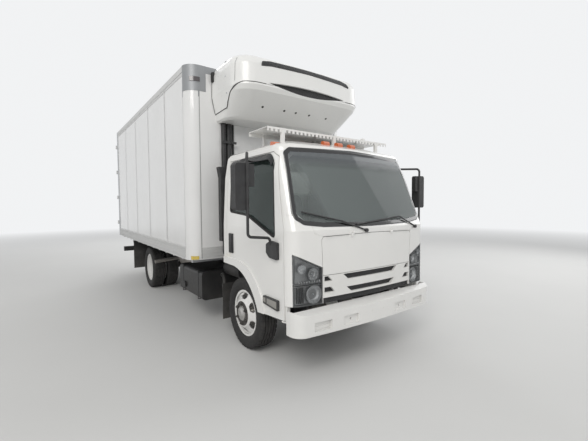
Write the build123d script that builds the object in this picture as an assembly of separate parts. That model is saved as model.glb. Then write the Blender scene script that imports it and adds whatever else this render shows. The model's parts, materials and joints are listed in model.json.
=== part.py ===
from build123d import *
import os

# Refrigerated truck: tilting low-forward cab, insulated van body and nose-mounted cooling unit.
# Lengths are millimetres. +X is the truck's left side, the driver's, and +Z is up.
# Y is counted backwards from the front bumper's face while a piece is modelled,
# and saving it moves the origin to the middle of the truck's length, on the ground.

# Sizes

# Wheels and axles
wheelbase = 3810.0
front_axle_y = 1165.0
tyre_radius = 403.0
tyre_width = 226.0
tread_width = 186.0
rim_radius = 262.0
rim_width = 172.0
rim_wall = 9.0
front_track = 1665.0
rear_track = 1680.0
dual_spacing = 262.0
hub_radius = 78.0
stud_circle = 222.25
stud_count = 6
hand_hole_circle = 398.0
hand_hole_radius = 26.0
spindle_radius = 30.0
king_pin_offset = 132.5
king_pin_radius = 18.0
knuckle_half_height = 72.0
steering_arm = 150.0
tie_rod_drop = 95.0
tie_rod_radius = 16.0
pin_clearance = 0.05
beam_depth = 70.0
rear_tube_radius = 62.0
spring_thickness = 40.0
spring_width = 70.0
front_spring_x = 410.0
rear_spring_x = 440.0

# Chassis frame
rail_outer = 427.5
rail_flange = 65.0
rail_depth = 200.0
rail_wall = 8.0
rail_top = 825.0
rail_front = 205.0
rail_rear_inset = 70.0
crossmember_size = 90.0
crossmember_places = [345, 1560, 2450, 3500, 4350, 5600, 6740]
cab_rest_y = 1465.0

# Front bumper
bumper_half = 1000.0
bumper_bottom = 452.0
bumper_top = 640.0
bumper_shelf_top = 678.0
bumper_shelf = 118.0
bumper_end_y = 214.0
bumper_wall = 6.0
bumper_bow = 50.0
bumper_corner = 120.0
bumper_end_chamfer = 28.0
pocket_z = (488.0, 574.0)
lamp_pocket_x = (-812.0, -612.0)
lamp_pocket_floor = 56.0
tow_pocket_x = (-468.0, -276.0)
tow_pocket_floor = 26.0
tow_socket_x = 372.0
tow_socket_z = 530.0
tow_socket_radius = 11.0
tow_socket_length = 34.0
plate_hole_spacing = 178.0
plate_hole_radius = 3.5
plate_hole_z = 560.0

# Cab shell
cab_half = 995.0
cab_front = 75.0
cab_bulge = 60.0
cab_back = 1600.0
cab_corner = 130.0
cab_wall = 60.0
cab_bottom = 541.0
belt_z = 1400.0
roof_edge_z = 2165.0
roof_edge_half = 932.0
side_turn_z = 1960.0
side_turn_half = 966.0
roof_edge_front = 368.0
roof_edge_radius = 90.0
roof_crown = 84.0
front_bottom = 712.0
panel_gap = 5.0
rear_window_half = 375.0
rear_window_z = (1790.0, 2090.0)
lid_half = 668.0
lid_z = (975.0, 1348.0)
lid_thickness = 24.0
lid_taper = 16.0
glass_thickness = 6.0

# Cab doors
door_gap = 7.0
door_front = 255.0
door_rear = 1460.0
door_top = 2150.0
door_hinge_depth = 8.0
door_hinge_back = 30.0
door_glass_depth = 26.0
glass_lap = 8.0
flare_rise = 14.0

# Cab floor and what stands on it
floor_z = 875.0
floor_plate = 40.0
platform_z = 1040.0
platform_front = 620.0
floor_side_gap = 20.0
step_z = 540.0

# Cab tilt
tilt_y = 100.0
tilt_z = 560.0
tilt_arm_x = 300.0
tilt_arm_width = 40.0
tilt_plate = 30.0
tilt_pin_radius = 14.0

# Air intake behind the cab
behind_cab = 62.0
duct_depth = 80.0
duct_foot = 1190.0

# Roof deck
deck_half = 910.0
deck_y = (650.0, 1040.0)
deck_top = 2432.0
deck_plate = 5.0
deck_flange = 44.0
deck_notches = 34

# Van body
body_front = 1902.0
body_length = 5015.0
body_half = 1295.0
body_bottom = 944.0
body_top = 3389.0
body_corner = 150.0
front_wall = 100.0
side_wall = 62.0
roof_thickness = 90.0
floor_top = 1090.0
floor_slab = 115.0
rail_sheet = 8.0
rub_rail_height = 165.0
top_rail_height = 80.0
rear_post = 70.0
rear_header = 150.0
rear_sill_top = 1084.0
rear_frame_depth = 110.0
cap_height = 318.0

# Rear doors of the body
box_door_thickness = 100.0
box_door_gap = 6.0
box_door_bevel = 12.0
hinge_proud = 34.0
hinge_outboard = 14.0
hinge_pin_radius = 8.0
hinge_barrel_radius = 13.0
hinge_places = [1250.0, 1850.0, 2450.0, 3050.0]
lock_rod_x = 190.0
lock_rod_radius = 13.0
lock_rod_stand = 22.0

# Cooling unit
unit_half = 972.0
unit_depth = 795.0
unit_bulge = 24.0
unit_corner = 250.0
unit_top = 3388.0
unit_edge = 85.0
unit_gap = 6.0

# Rear end
rear_bumper_reach = 125.0
rear_bumper_z = (530.0, 640.0)
rear_bumper_half = 1190.0
flap_thickness = 8.0

# Worked out from the sizes above
rear_axle_y = front_axle_y + wheelbase
body_rear = body_front + body_length
overall_length = body_rear + rear_bumper_reach
rail_inner = rail_outer - rail_flange
rail_bottom = rail_top - rail_depth
axle_z = tyre_radius
front_wheel_x = front_track / 2
king_pin_x = front_wheel_x - king_pin_offset
rear_wheel_x = rear_track / 2
inside_half = body_half - rail_sheet - side_wall
lid_foot_half = lid_half - lid_taper
platform_bottom = platform_z - floor_plate
unit_front = body_front - unit_depth
roof_split = door_top + door_gap

# Helpers


def block(x, y, z):
    """A box between pairs of low and high limits."""
    middle = [(low + high) / 2 for low, high in (x, y, z)]
    return Pos(*middle) * Box(x[1] - x[0], y[1] - y[0], z[1] - z[0])


def rod(radius, start, end):
    """A round bar between two points."""
    line = Vector(*end) - Vector(*start)
    low = (Align.CENTER, Align.CENTER, Align.MIN)
    return Plane(origin=start, z_dir=line) * Cylinder(radius, line.length, align=low)


def bent_rod(radius, points, bend):
    """A round bar through points, with an arc of one radius at each corner."""
    path = FilletPolyline(*points, radius=bend)
    return sweep(Plane(origin=path @ 0, z_dir=path % 0) * Circle(radius), path=path)


def outline(*edges):
    """A face inside edges that follow each other: two points make a line, three an arc."""
    return make_face([Line(*edge) if len(edge) == 2 else ThreePointArc(*edge) for edge in edges])


def polygon(*points):
    return make_face(Polyline(*points, close=True))


def rounded(face, radius):
    return fillet(face.vertices(), radius)


def across(face, x):
    """A face drawn in Y and Z, pushed from one X to another."""
    return extrude(Plane.YZ.offset(x[0]) * face, x[1] - x[0])


def along(face, y):
    """A face drawn in X and Z, pushed from one Y to another."""
    front = Plane(origin=(0, y[0], 0), x_dir=(1, 0, 0), z_dir=(0, -1, 0))
    return extrude(front * face, y[0] - y[1])


def upward(face, z):
    """A face drawn in X and Y, pushed from one Z to another."""
    return extrude(Pos(0, 0, z[0]) * face, z[1] - z[0])


def mirrored(shape):
    return mirror(shape, about=Plane.YZ)


def pair(shape):
    """A piece on the truck's right and the same piece on its left."""
    return [shape, mirrored(shape)]


def turned(shape, count, y, z):
    """Copies of a shape about an axle that lies along X."""
    return [Pos(0, y, z) * Rot(360 * i / count, 0, 0) * Pos(0, -y, -z) * shape for i in range(count)]


def spun(face, x, y, z):
    """A ring from a face drawn as (distance outboard, radius), about an axle on the right side."""
    ring = revolve(Plane.XZ * face, Axis.X)
    return Pos(x, y, z) * mirrored(ring)


def save(node, *pieces):
    solids = []
    for piece in pieces:
        for item in piece if isinstance(piece, list) else [piece]:
            solids += item.solids()
    placed = [Pos(0, -overall_length / 2, 0) * solid for solid in solids]
    export_step(Compound(children=placed), f"parts/{node}.step")


os.makedirs("parts", exist_ok=True)

# Chassis frame


def channel_rail():
    """The right C-section rail, its open side inwards."""
    x = (-rail_outer, -rail_inner)
    y = (rail_front, body_rear - rail_rear_inset)
    z = (rail_bottom, rail_top)
    hollow = block((x[0] + rail_wall, x[1] + 1), (y[0] - 1, y[1] + 1), (z[0] + rail_wall, z[1] - rail_wall))
    return block(x, y, z) - hollow


def crossmember(y):
    """An open channel between the rails' webs."""
    reach = rail_outer - rail_wall
    z = (rail_bottom + rail_wall, rail_top - rail_wall)
    groove = block((-reach - 1, reach + 1), (y - 1, y + crossmember_size - rail_wall),
                   (z[0] + rail_wall, z[1] - rail_wall))
    return block((-reach, reach), (y, y + crossmember_size), z) - groove


def tilt_bracket():
    """The right fixed plate and pin on which the cab tilts, under the front of the rail."""
    face = polygon((rail_front + 140, rail_bottom), (rail_front + 140, rail_bottom - 40),
                   (tilt_y + 22, tilt_z - 30), (tilt_y - 22, tilt_z - 24), (tilt_y - 22, tilt_z + 24),
                   (rail_front + 5, rail_bottom))
    outer_face = -rail_inner - tilt_plate
    pin_end = -tilt_arm_x + tilt_arm_width / 2
    pin = rod(tilt_pin_radius, (outer_face, tilt_y, tilt_z), (pin_end, tilt_y, tilt_z))
    return across(face, (outer_face, -rail_inner)) + pin


def cab_rest():
    """The arch behind the engine on which the cab's rear lies."""
    y = (cab_rest_y, cab_rest_y + 60)
    leg = block((-rail_outer, -rail_inner), y, (rail_top, platform_bottom - 40))
    bridge = block((-rail_outer, rail_outer), y, (platform_bottom - 40, platform_bottom))
    return bridge + leg + mirrored(leg)


save("frame_rails", pair(channel_rail()), pair(tilt_bracket()),
     [crossmember(y) for y in crossmember_places], cab_rest())

# Front bumper


def bumper_plan(inset):
    """The bumper's plan: a bowed face and rounded ends that wrap back."""
    half = bumper_half - inset
    side = inset + bumper_bow
    face = outline(((-half, side), (0, inset), (half, side)), ((half, side), (half, bumper_end_y)),
                   ((half, bumper_end_y), (-half, bumper_end_y)), ((-half, bumper_end_y), (-half, side)))
    return fillet(face.vertices().sort_by(Axis.Y)[:2], bumper_corner - inset)


def under_shelf(drop):
    """All that lies below the bumper's sloping top, lowered by a drop."""
    back = bumper_end_y + 10
    drop_y = bumper_end_y - bumper_end_chamfer
    section = polygon((-10, bumper_top - 3), (bumper_shelf, bumper_shelf_top), (drop_y, bumper_shelf_top),
                      (back, bumper_shelf_top - back + drop_y), (back, 0), (-10, 0))
    return Pos(0, 0, -drop) * across(section, (-bumper_half - 10, bumper_half + 10))


def pocket(x, floor_y, grow):
    """A recess in the bumper's face, or its tray when grown by the sheet's thickness."""
    return block((x[0] - grow, x[1] + grow), (-50, floor_y + grow), (pocket_z[0] - grow, pocket_z[1] + grow))


def bumper_shape():
    outer = upward(bumper_plan(0), (bumper_bottom, bumper_shelf_top)) & under_shelf(0)
    inner = upward(bumper_plan(bumper_wall), (bumper_bottom - 5, bumper_shelf_top)) & under_shelf(bumper_wall)
    back = upward(bumper_plan(bumper_wall), (bumper_bottom - 5, bumper_shelf_top + 5))
    back = back & block((-bumper_half, bumper_half), (bumper_shelf, bumper_end_y + 5), (0, 1000))
    ends = block((-bumper_half, bumper_half), (bumper_end_y - 1, bumper_end_y + 5), (0, 1000))
    shell = outer - inner - back - ends
    for x, floor_y in ((lamp_pocket_x, lamp_pocket_floor), (tow_pocket_x, tow_pocket_floor)):
        for tray, recess in zip(pair(pocket(x, floor_y, bumper_wall)), pair(pocket(x, floor_y, 0))):
            shell = (shell + (tray & outer)) - recess
    start = tow_pocket_floor + bumper_wall
    end = start + tow_socket_length
    for x in (-tow_socket_x, tow_socket_x):
        shell = shell + rod(tow_socket_radius + 8, (x, start - 1, tow_socket_z), (x, end, tow_socket_z))
        shell = shell - rod(tow_socket_radius, (x, 0, tow_socket_z), (x, end + 5, tow_socket_z))
    for x in (-plate_hole_spacing / 2, plate_hole_spacing / 2):
        shell = shell - rod(plate_hole_radius, (x, -10, plate_hole_z), (x, 30, plate_hole_z))
    return shell


def bumper_stay():
    """The right plate between the bumper's back and the rail's outer face."""
    low = rail_bottom + 10
    face = polygon((0, bumper_bottom + 30), (0, bumper_top - 30), (bumper_shelf, bumper_top - 10),
                   (rail_front, rail_top - 60), (rail_front + 120, rail_top - 60), (rail_front + 120, low),
                   (bumper_shelf + 30, bumper_bottom + 30))
    plate = across(face, (-rail_outer - 10, -rail_outer))
    behind = upward(bumper_plan(bumper_wall), (0, 1000)) + block((-500, 500), (bumper_shelf, 1000), (0, 1000))
    return (plate & behind) - pocket(tow_pocket_x, tow_pocket_floor, bumper_wall)


save("front_bumper", bumper_shape(), pair(bumper_stay()))

# Front axle, its springs and the steering


def leaf_spring(x, y, eye_z, seat_z, half_length):
    """The right spring of an axle: a pack of leaves with an eye at each end."""
    t = spring_thickness / 2
    ends = (y - half_length, y + half_length)
    leaves = outline(((ends[0], eye_z + t), (y, seat_z + t), (ends[1], eye_z + t)),
                     ((ends[1], eye_z + t), (ends[1], eye_z - t / 4)),
                     ((ends[1], eye_z - t / 4), (y, seat_z - t), (ends[0], eye_z - t / 4)),
                     ((ends[0], eye_z - t / 4), (ends[0], eye_z + t)))
    sides = (-x - spring_width / 2, -x + spring_width / 2)
    spring = across(leaves, sides)
    for end in ends:
        spring = spring + rod(26, (sides[0], end, eye_z + 8), (sides[1], end, eye_z + 8))
        hanger = polygon((end - 55, rail_bottom), (end + 55, rail_bottom), (end + 20, eye_z), (end - 20, eye_z))
        spring = spring + across(hanger, sides)
    return spring


front_seat_z = axle_z + 12
front_spring = leaf_spring(front_spring_x, front_axle_y, 505, front_seat_z, 600)


def front_beam():
    """A dropped forged beam with a boss for each king pin."""
    boss_x = king_pin_x - 30
    seat = front_seat_z - spring_thickness / 2
    knee = boss_x - 60
    flat = front_spring_x + 110
    beam = polygon((-boss_x, axle_z + 34), (-knee, axle_z + 34), (-flat, seat), (flat, seat), (knee, axle_z + 34),
                   (boss_x, axle_z + 34), (boss_x, axle_z - 34), (knee - 20, axle_z - 34), (flat - 20, seat - 84),
                   (20 - flat, seat - 84), (20 - knee, axle_z - 34), (-boss_x, axle_z - 34))
    y = (front_axle_y - beam_depth / 2, front_axle_y + beam_depth / 2)
    shape = along(beam, y)
    web = polygon((40 - flat, seat - 18), (flat - 40, seat - 18), (flat - 50, seat - 66), (50 - flat, seat - 66))
    for groove in ((y[0] - 1, y[0] + 24), (y[1] - 24, y[1] + 1)):
        shape = shape - along(web, groove)
    for x in (-king_pin_x, king_pin_x):
        shape = shape + rod(38, (x, front_axle_y, axle_z - 45), (x, front_axle_y, axle_z + 45))
        shape = shape - rod(king_pin_radius + pin_clearance, (x, front_axle_y, 0), (x, front_axle_y, 900))
    return shape


save("front_axle", front_beam(), pair(front_spring))


def knuckle():
    """The right steering knuckle: two ears and their pin, the spindle and the steering arm."""
    web = (-king_pin_x - knuckle_half_height, -king_pin_x - 46)
    y = (front_axle_y - 36, front_axle_y + 36)
    top = axle_z + knuckle_half_height
    low = axle_z - knuckle_half_height
    shape = block(web, y, (low, top))
    for z in ((axle_z + 46, top), (low, axle_z - 46)):
        shape = shape + block((web[0], -king_pin_x), y, z)
        shape = shape + rod(36, (-king_pin_x, front_axle_y, z[0]), (-king_pin_x, front_axle_y, z[1]))
    shape = shape + rod(king_pin_radius, (-king_pin_x, front_axle_y, low), (-king_pin_x, front_axle_y, top))
    spindle_end = -front_wheel_x - 70
    shape = shape + rod(spindle_radius, (web[0] + 5, front_axle_y, axle_z), (spindle_end, front_axle_y, axle_z))
    eye_y = front_axle_y + steering_arm
    arm = polygon((-king_pin_x - 30, front_axle_y), (-king_pin_x + 30, front_axle_y), (-king_pin_x + 20, eye_y),
                  (-king_pin_x - 20, eye_y))
    shape = shape + upward(arm, (low, low + 24)) + rod(20, (-king_pin_x, eye_y, low), (-king_pin_x, eye_y, low + 24))
    pin_low = axle_z - tie_rod_drop - 12
    return shape + rod(8, (-king_pin_x, eye_y, pin_low), (-king_pin_x, eye_y, low))


def tie_rod():
    """The bar between the two steering arms; its left eye is the pivot that is left open."""
    y = front_axle_y + steering_arm
    z = axle_z - tie_rod_drop
    shape = rod(tie_rod_radius, (-king_pin_x, y, z), (king_pin_x, y, z))
    for x, clearance in ((-king_pin_x, pin_clearance), (king_pin_x, 1.0)):
        shape = shape + rod(22, (x, y, z - 12), (x, y, z + 12))
        shape = shape - rod(8 + clearance, (x, y, z - 20), (x, y, z + 20))
    return shape


save("knuckle_right", knuckle())
save("knuckle_left", mirrored(knuckle()))
save("tie_rod", tie_rod())

# Wheels and tyres, each drawn as (distance outboard, radius) from the tyre's middle plane

bead = rim_radius - 13
half_rim = rim_width / 2


def rim_section():
    """A drop-centre rim with a flange at each side."""
    drop = bead - 23
    w = rim_wall
    return polygon((-half_rim, rim_radius), (-half_rim + 6, rim_radius), (-half_rim + 10, bead), (-40, bead - 2),
                   (-28, drop), (28, drop), (40, bead - 2), (half_rim - 10, bead), (half_rim - 6, rim_radius),
                   (half_rim, rim_radius), (half_rim, bead - w), (46, bead - 2 - w), (34, drop - w),
                   (-34, drop - w), (-46, bead - 2 - w), (-half_rim, bead - w))


def disc_section(face_x):
    """A dished wheel disc from the rim's bead seat to its flat hub flange."""
    seat = bead - rim_wall
    return polygon((44, seat), (58, seat), (76, 217), (face_x - 24, 174), (face_x, 156), (face_x, hub_radius + 3),
                   (face_x - 12, hub_radius + 3), (face_x - 12, 150), (face_x - 34, 164), (64, 207), (44, seat - 6))


def lug(face_x):
    """One wheel nut on its stud, with six flats."""
    flats = Pos(face_x, 0, stud_circle / 2) * Rot(0, 90, 0)
    return flats * extrude(RegularPolygon(17, 6), 22) + flats * Cylinder(9, 34, align=(Align.CENTER, Align.CENTER, Align.MIN))


def tyre_section():
    """A hollow tyre: tread, shoulders, bulging sides and beads on the rim."""
    half = tyre_width / 2
    tread = tread_width / 2
    rise = tyre_radius - rim_radius
    side = [(half_rim - 10, bead), (half_rim - 6, rim_radius), (half_rim + 4, rim_radius + 2),
            (half, rim_radius + 0.52 * rise), (half - 5, rim_radius + 0.82 * rise), (tread, tyre_radius)]
    inner = [(half - 18, rim_radius + 0.6 * rise), (half_rim - 22, bead)]
    crown = [(tread - 6, tyre_radius - 20)]
    right = side + [(-x, r) for x, r in reversed(side)]
    hollow = [(-x, r) for x, r in reversed(inner)] + [(-x, r) for x, r in crown] + crown + inner
    return polygon(*right, *hollow)


def wheel(face_x, x, y, outward):
    """A rim and disc with hand holes; outward is 1 if the dish bulges outboard, else -1."""
    ring = revolve(Plane.XZ * rim_section(), Axis.X) + revolve(Plane.XZ * disc_section(face_x), Axis.X)
    hole = rod(hand_hole_radius, (40, 0, hand_hole_circle / 2), (face_x + 20, 0, hand_hole_circle / 2))
    for cut in turned(hole, 6, 0, 0):
        ring = ring - cut
    if outward < 0:
        ring = mirrored(ring)
    return Pos(x, y, axle_z) * mirrored(ring)


def placed_lugs(face_x, x, y):
    return [Pos(x, y, axle_z) * mirrored(nut) for nut in turned(lug(face_x), stud_count, 0, 0)]


front_face = half_rim + 38


def front_hub():
    """Hub, brake disc and grease cap in one turned piece, bored for the spindle."""
    section = polygon((-46, spindle_radius + pin_clearance), (72, spindle_radius + pin_clearance), (72, 0),
                      (front_face + 26, 0), (front_face + 26, 40), (front_face + 14, 52), (front_face + 14, hub_radius),
                      (front_face - 12, hub_radius), (front_face - 12, 138), (front_face - 30, 138),
                      (front_face - 34, 70), (-4, 62), (-4, 165), (-28, 165), (-28, 62), (-46, 62))
    return spun(section, -front_wheel_x, front_axle_y, axle_z)


front_wheel = wheel(front_face, -front_wheel_x, front_axle_y, 1)
front_lugs = placed_lugs(front_face, -front_wheel_x, front_axle_y)
front_tyre = spun(tyre_section(), -front_wheel_x, front_axle_y, axle_z)
save("wheel_front_right", front_wheel, front_hub(), front_lugs)
save("wheel_front_left", mirrored(front_wheel), mirrored(front_hub()), [mirrored(nut) for nut in front_lugs])
save("tyre_front_right", front_tyre)
save("tyre_front_left", mirrored(front_tyre))

dual_face = dual_spacing / 2
dual_x = [-rear_wheel_x - dual_spacing / 2, -rear_wheel_x + dual_spacing / 2]
rear_wheels = [wheel(dual_face, dual_x[0], rear_axle_y, -1), wheel(dual_face, dual_x[1], rear_axle_y, 1)]
rear_lugs = placed_lugs(12, -rear_wheel_x, rear_axle_y)
rear_tyres = [spun(tyre_section(), x, rear_axle_y, axle_z) for x in dual_x]
drum_inner = dual_spacing / 2 + 96


def rear_hub():
    """Drum, hub and drive flange in one turned piece, open towards the axle tube."""
    bore = rear_tube_radius - 16 + pin_clearance
    section = polygon((-drum_inner, 176), (-drum_inner, 164), (-76, 164), (-76, 84), (-110, 84), (-110, bore),
                      (40, bore), (40, 0), (72, 0), (72, 62), (58, 74), (12, hub_radius), (-12, hub_radius),
                      (-12, 136), (-30, 136), (-64, 150), (-64, 176))
    return spun(section, -rear_wheel_x, rear_axle_y, axle_z)


save("wheels_rear_right", rear_wheels, rear_hub(), rear_lugs)
save("wheels_rear_left", [mirrored(item) for item in rear_wheels], mirrored(rear_hub()),
     [mirrored(nut) for nut in rear_lugs])
save("tyres_rear_right", rear_tyres)
save("tyres_rear_left", [mirrored(item) for item in rear_tyres])

# Rear axle, drive line and exhaust

rear_seat_z = axle_z + rear_tube_radius + spring_thickness / 2
rear_spring = leaf_spring(rear_spring_x, rear_axle_y, 540, rear_seat_z, 650)


def rear_housing():
    """The axle tube with its round differential case and the spindles inside the hubs."""
    tube_end = rear_wheel_x - drum_inner - 8
    shape = rod(rear_tube_radius, (-tube_end, rear_axle_y, axle_z), (tube_end, rear_axle_y, axle_z))
    spindle = rear_tube_radius - 16
    end = rear_wheel_x + 30
    shape = shape + rod(spindle, (-end, rear_axle_y, axle_z), (end, rear_axle_y, axle_z))
    case = rod(172, (0, rear_axle_y - 90, axle_z), (0, rear_axle_y + 110, axle_z))
    nose = rod(72, (0, rear_axle_y - 300, axle_z), (0, rear_axle_y, axle_z))
    return shape + case + nose


save("rear_axle", rear_housing(), pair(rear_spring))

engine_y = (765.0, 1400.0)
gearbox_end = 2050.0


def drive_line():
    """Engine, radiator pack and gearbox as plain blocks, then the propeller shaft to the rear axle."""
    engine = block((-270, 270), engine_y, (425, 955))
    radiator = block((-310, 310), (680, engine_y[0]), (430, 950))
    mount = block((-rail_outer + rail_wall, -270), (1000, 1080), (rail_bottom + rail_wall, rail_bottom + 80))
    gearbox = block((-150, 150), (engine_y[1], gearbox_end), (axle_z - 45, 610))
    shaft = rod(38, (0, gearbox_end, axle_z), (0, rear_axle_y - 300, axle_z))
    return [engine + radiator + mount + mirrored(mount) + gearbox, shaft]


save("powertrain", drive_line())

muffler_x = -rail_outer - 190
muffler_z = 640.0


def exhaust():
    """Down-pipe, muffler under the body's right side and a turned-out tail pipe."""
    pipe = bent_rod(32, [(-240, engine_y[1], 500), (-240, 3060, 500), (muffler_x, 3240, 540),
                         (muffler_x, 3421, muffler_z)], 70)
    muffler = rod(120, (muffler_x, 3420, muffler_z), (muffler_x, 4120, muffler_z))
    tail = bent_rod(32, [(muffler_x, 4119, muffler_z), (muffler_x, 4330, muffler_z), (-1120, 4330, 600)], 110)
    hangers = [block((-rail_outer - 90, -rail_outer), (y, y + 40), (rail_top - 90, rail_top - 40)) for y in (3550, 3950)]
    shape = pipe + muffler + tail
    for hanger in hangers:
        shape = shape + hanger
    return shape


save("exhaust", exhaust())

# Fuel tank on the right rail, air intake behind the cab and mud flaps

tank_x = (-1052.0, -rail_outer - 34.5)
tank_y = (2150.0, 3080.0)
tank_z = (340.0, 735.0)


def fuel_tank():
    section = rounded(polygon((tank_x[0], tank_z[0]), (tank_x[1], tank_z[0]), (tank_x[1], tank_z[1]),
                              (tank_x[0], tank_z[1])), 55)
    tank = along(section, tank_y)
    cap_y = tank_y[1] - 260
    cap = rod(46, (tank_x[0] + 5, cap_y, tank_z[0] + 115), (tank_x[0] - 26, cap_y, tank_z[0] + 115))
    brackets = [block((tank_x[1] - 5, -rail_outer), (y, y + 60), (rail_bottom + 5, rail_bottom + 90))
                for y in (tank_y[0] + 120, tank_y[1] - 180)]
    return [tank + cap + brackets[0] + brackets[1]]


save("fuel_tank", fuel_tank())


def intake():
    """Air snorkel up the cab's back corner, its elbow and the air cleaner beside the rail."""
    y = (cab_back + behind_cab, cab_back + behind_cab + duct_depth)
    x = (-cab_half + 25, -cab_half + 107)
    top = roof_edge_z - 53
    duct = block(x, y, (duct_foot, top))
    hood = along(polygon((x[0] - 22, top), (x[1] + 8, top), (x[1] + 4, top - 92), (x[0], top - 122)), (y[0] - 8, y[1] + 8))
    cleaner_x = -rail_outer - 215
    elbow = block((x[0], cleaner_x + 40), y, (duct_foot, duct_foot + duct_depth))
    fall = block((cleaner_x - 40, cleaner_x + 40), y, (800, duct_foot + duct_depth))
    cleaner = rod(108, (cleaner_x, y[0], 770), (cleaner_x, y[0] + 458, 770))
    bracket = block((cleaner_x + 85, -rail_outer), (y[0] + 138, y[0] + 188), (700, 790))
    return duct + hood + elbow + fall + cleaner + bracket


save("intake_snorkel", intake())


def front_flap():
    """The right flap behind the front wheel, on a bar from the rail."""
    y = cab_back + behind_cab + 2
    sheet = block((-967, -640), (y, y + flap_thickness), (205, 615))
    return sheet + block((-967, -rail_outer), (y + flap_thickness, y + flap_thickness + 14), (628, 652)) + block(
        (-967, -640), (y, y + flap_thickness + 14), (600, 652))


def rear_flap():
    """The right flap behind the rear wheels, hung from a floor cross bearer."""
    y = rear_axle_y + 690
    sheet = block((-1222, -612), (y, y + flap_thickness), (300, 860))
    return sheet + block((-1222, -612), (y, y + 40), (850, rail_top + 75))


save("mud_flaps", pair(front_flap()), pair(rear_flap()))

# Van body: floor, walls, roof and rear frame

bearer_z = (rail_top + 75, rail_top + 150)
inner_y = (body_front + front_wall, body_rear - rear_frame_depth)
bearer_pitch = 395.0


def box_floor():
    """Insulated floor slab on cross bearers and two long sills that lie on the rails."""
    slab = block((-inside_half, inside_half), inner_y, (bearer_z[1], floor_top))
    sill = block((-rail_outer, -rail_inner), (body_front + 60, inner_y[1]), (rail_top, bearer_z[0]))
    count = int((inner_y[1] - inner_y[0] - 60) // bearer_pitch) + 1
    bearers = [block((-inside_half, inside_half), (inner_y[0] + i * bearer_pitch, inner_y[0] + i * bearer_pitch + 50),
                     bearer_z) for i in range(count)]
    flap_y = rear_axle_y + 690
    flap_bearer = block((-inside_half, inside_half), (flap_y - 5, flap_y + 45), bearer_z)
    return [slab] + pair(sill) + bearers + [flap_bearer]


def body_plan(grow):
    """The body's plan at its front: two round corners and open sides that run back."""
    half = body_half + grow
    front = body_front - grow
    face = polygon((-half, front), (half, front), (half, body_front + 1000), (-half, body_front + 1000))
    return fillet(face.vertices().sort_by(Axis.Y)[:2], body_corner + grow)


def box_front():
    """Front wall with the two round corner posts in one piece."""
    wall = upward(body_plan(0), (body_bottom, body_top - roof_thickness))
    back = block((-2000, 2000), (body_front + body_corner, 5000), (0, 5000))
    hollow = block((-inside_half, inside_half), (inner_y[0], 5000), (0, 5000))
    return wall - back - hollow


def box_side():
    """The right side wall, from the corner post to the rear frame."""
    x = (-body_half + rail_sheet, -inside_half)
    return block(x, (body_front + body_corner, inner_y[1]), (body_bottom, body_top - roof_thickness))


def box_roof():
    plan = upward(body_plan(-rail_sheet), (body_top - roof_thickness, body_top - 3))
    front = plan & block((-2000, 2000), (0, body_front + body_corner), (0, 5000))
    half = body_half - rail_sheet
    rear = block((-half, half), (body_front + body_corner, inner_y[1]), (body_top - roof_thickness, body_top - 3))
    return front + rear


save("box_floor", box_floor())
save("box_front_wall", box_front())
save("box_side_walls", pair(box_side()))
save("box_roof", box_roof())


def rail_strip(low, high, ribs):
    """The right strip of sheet along the wall, with ribs that stand out of it."""
    y = (body_front + body_corner, inner_y[1])
    x = (-body_half, -body_half + rail_sheet)
    strip = block((x[0] + 4, x[1]), y, (low, high))
    for rib_low, rib_high in ribs:
        strip = strip + block(x, y, (rib_low, rib_high))
    return strip


def rail_strips():
    low = body_bottom
    rub = rail_strip(low, low + rub_rail_height, [(low, low + 26), (low + 62, low + 84), (low + 138, low + 165)])
    edge = body_top - roof_thickness
    top = rail_strip(edge - 20, body_top, [(edge + 20, body_top)])
    return pair(rub) + pair(top)


def corner_caps():
    """The grey cover round each upper front corner and the rim of the roof's front edge."""
    z = (body_top - cap_height, body_top)
    sheet = upward(body_plan(4), z) - upward(body_plan(0), (z[0] - 1, z[1] + 1))
    right = sheet & block((-2000, -body_half + body_corner + 95), (0, body_front + body_corner), (0, 5000))
    strip = upward(body_plan(0), (body_top - roof_thickness, body_top))
    strip = strip - upward(body_plan(-rail_sheet), (0, 5000))
    strip = strip & block((-2000, 2000), (0, body_front + body_corner), (0, 5000))
    return pair(right) + [strip]


save("box_rails", rail_strips(), corner_caps())


def rear_frame():
    """Posts, header and sill round the rear doors, with the fixed hinge lugs and rod keepers."""
    y = (inner_y[1], body_rear)
    post = block((-body_half, -body_half + rear_post), y, (rear_sill_top, body_top - rear_header))
    header = block((-body_half, body_half), y, (body_top - rear_header, body_top))
    sill = block((-body_half, body_half), y, (body_bottom, rear_sill_top))
    lugs = []
    for z in hinge_places:
        for low in (z - 41, z + 31):
            plate = polygon((-body_half + 4, body_rear), (-body_half + 50, body_rear),
                            (-hinge_x + 12, hinge_y + 6), (-hinge_x - 10, hinge_y + 8), (-hinge_x - 12, hinge_y - 8))
            lugs.append(upward(plate, (low, low + 10)))
        lugs.append(rod(hinge_pin_radius, (-hinge_x, hinge_y, z - 41), (-hinge_x, hinge_y, z + 41)))
    for lug_piece in lugs:
        post = post + lug_piece
    keepers = []
    for z in ((rear_sill_top - 60, rear_sill_top - 20), (body_top - rear_header + 20, body_top - rear_header + 60)):
        for side in (-1, 1):
            x = -lock_rod_x + side * 34
            keepers.append(block((x - 8, x + 8), (body_rear, body_rear + 36), z))
    return pair(post) + [header, sill] + keepers + [mirrored(item) for item in keepers]


hinge_x = body_half + hinge_outboard
hinge_y = body_rear + hinge_proud
save("box_rear_frame", rear_frame())


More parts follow.
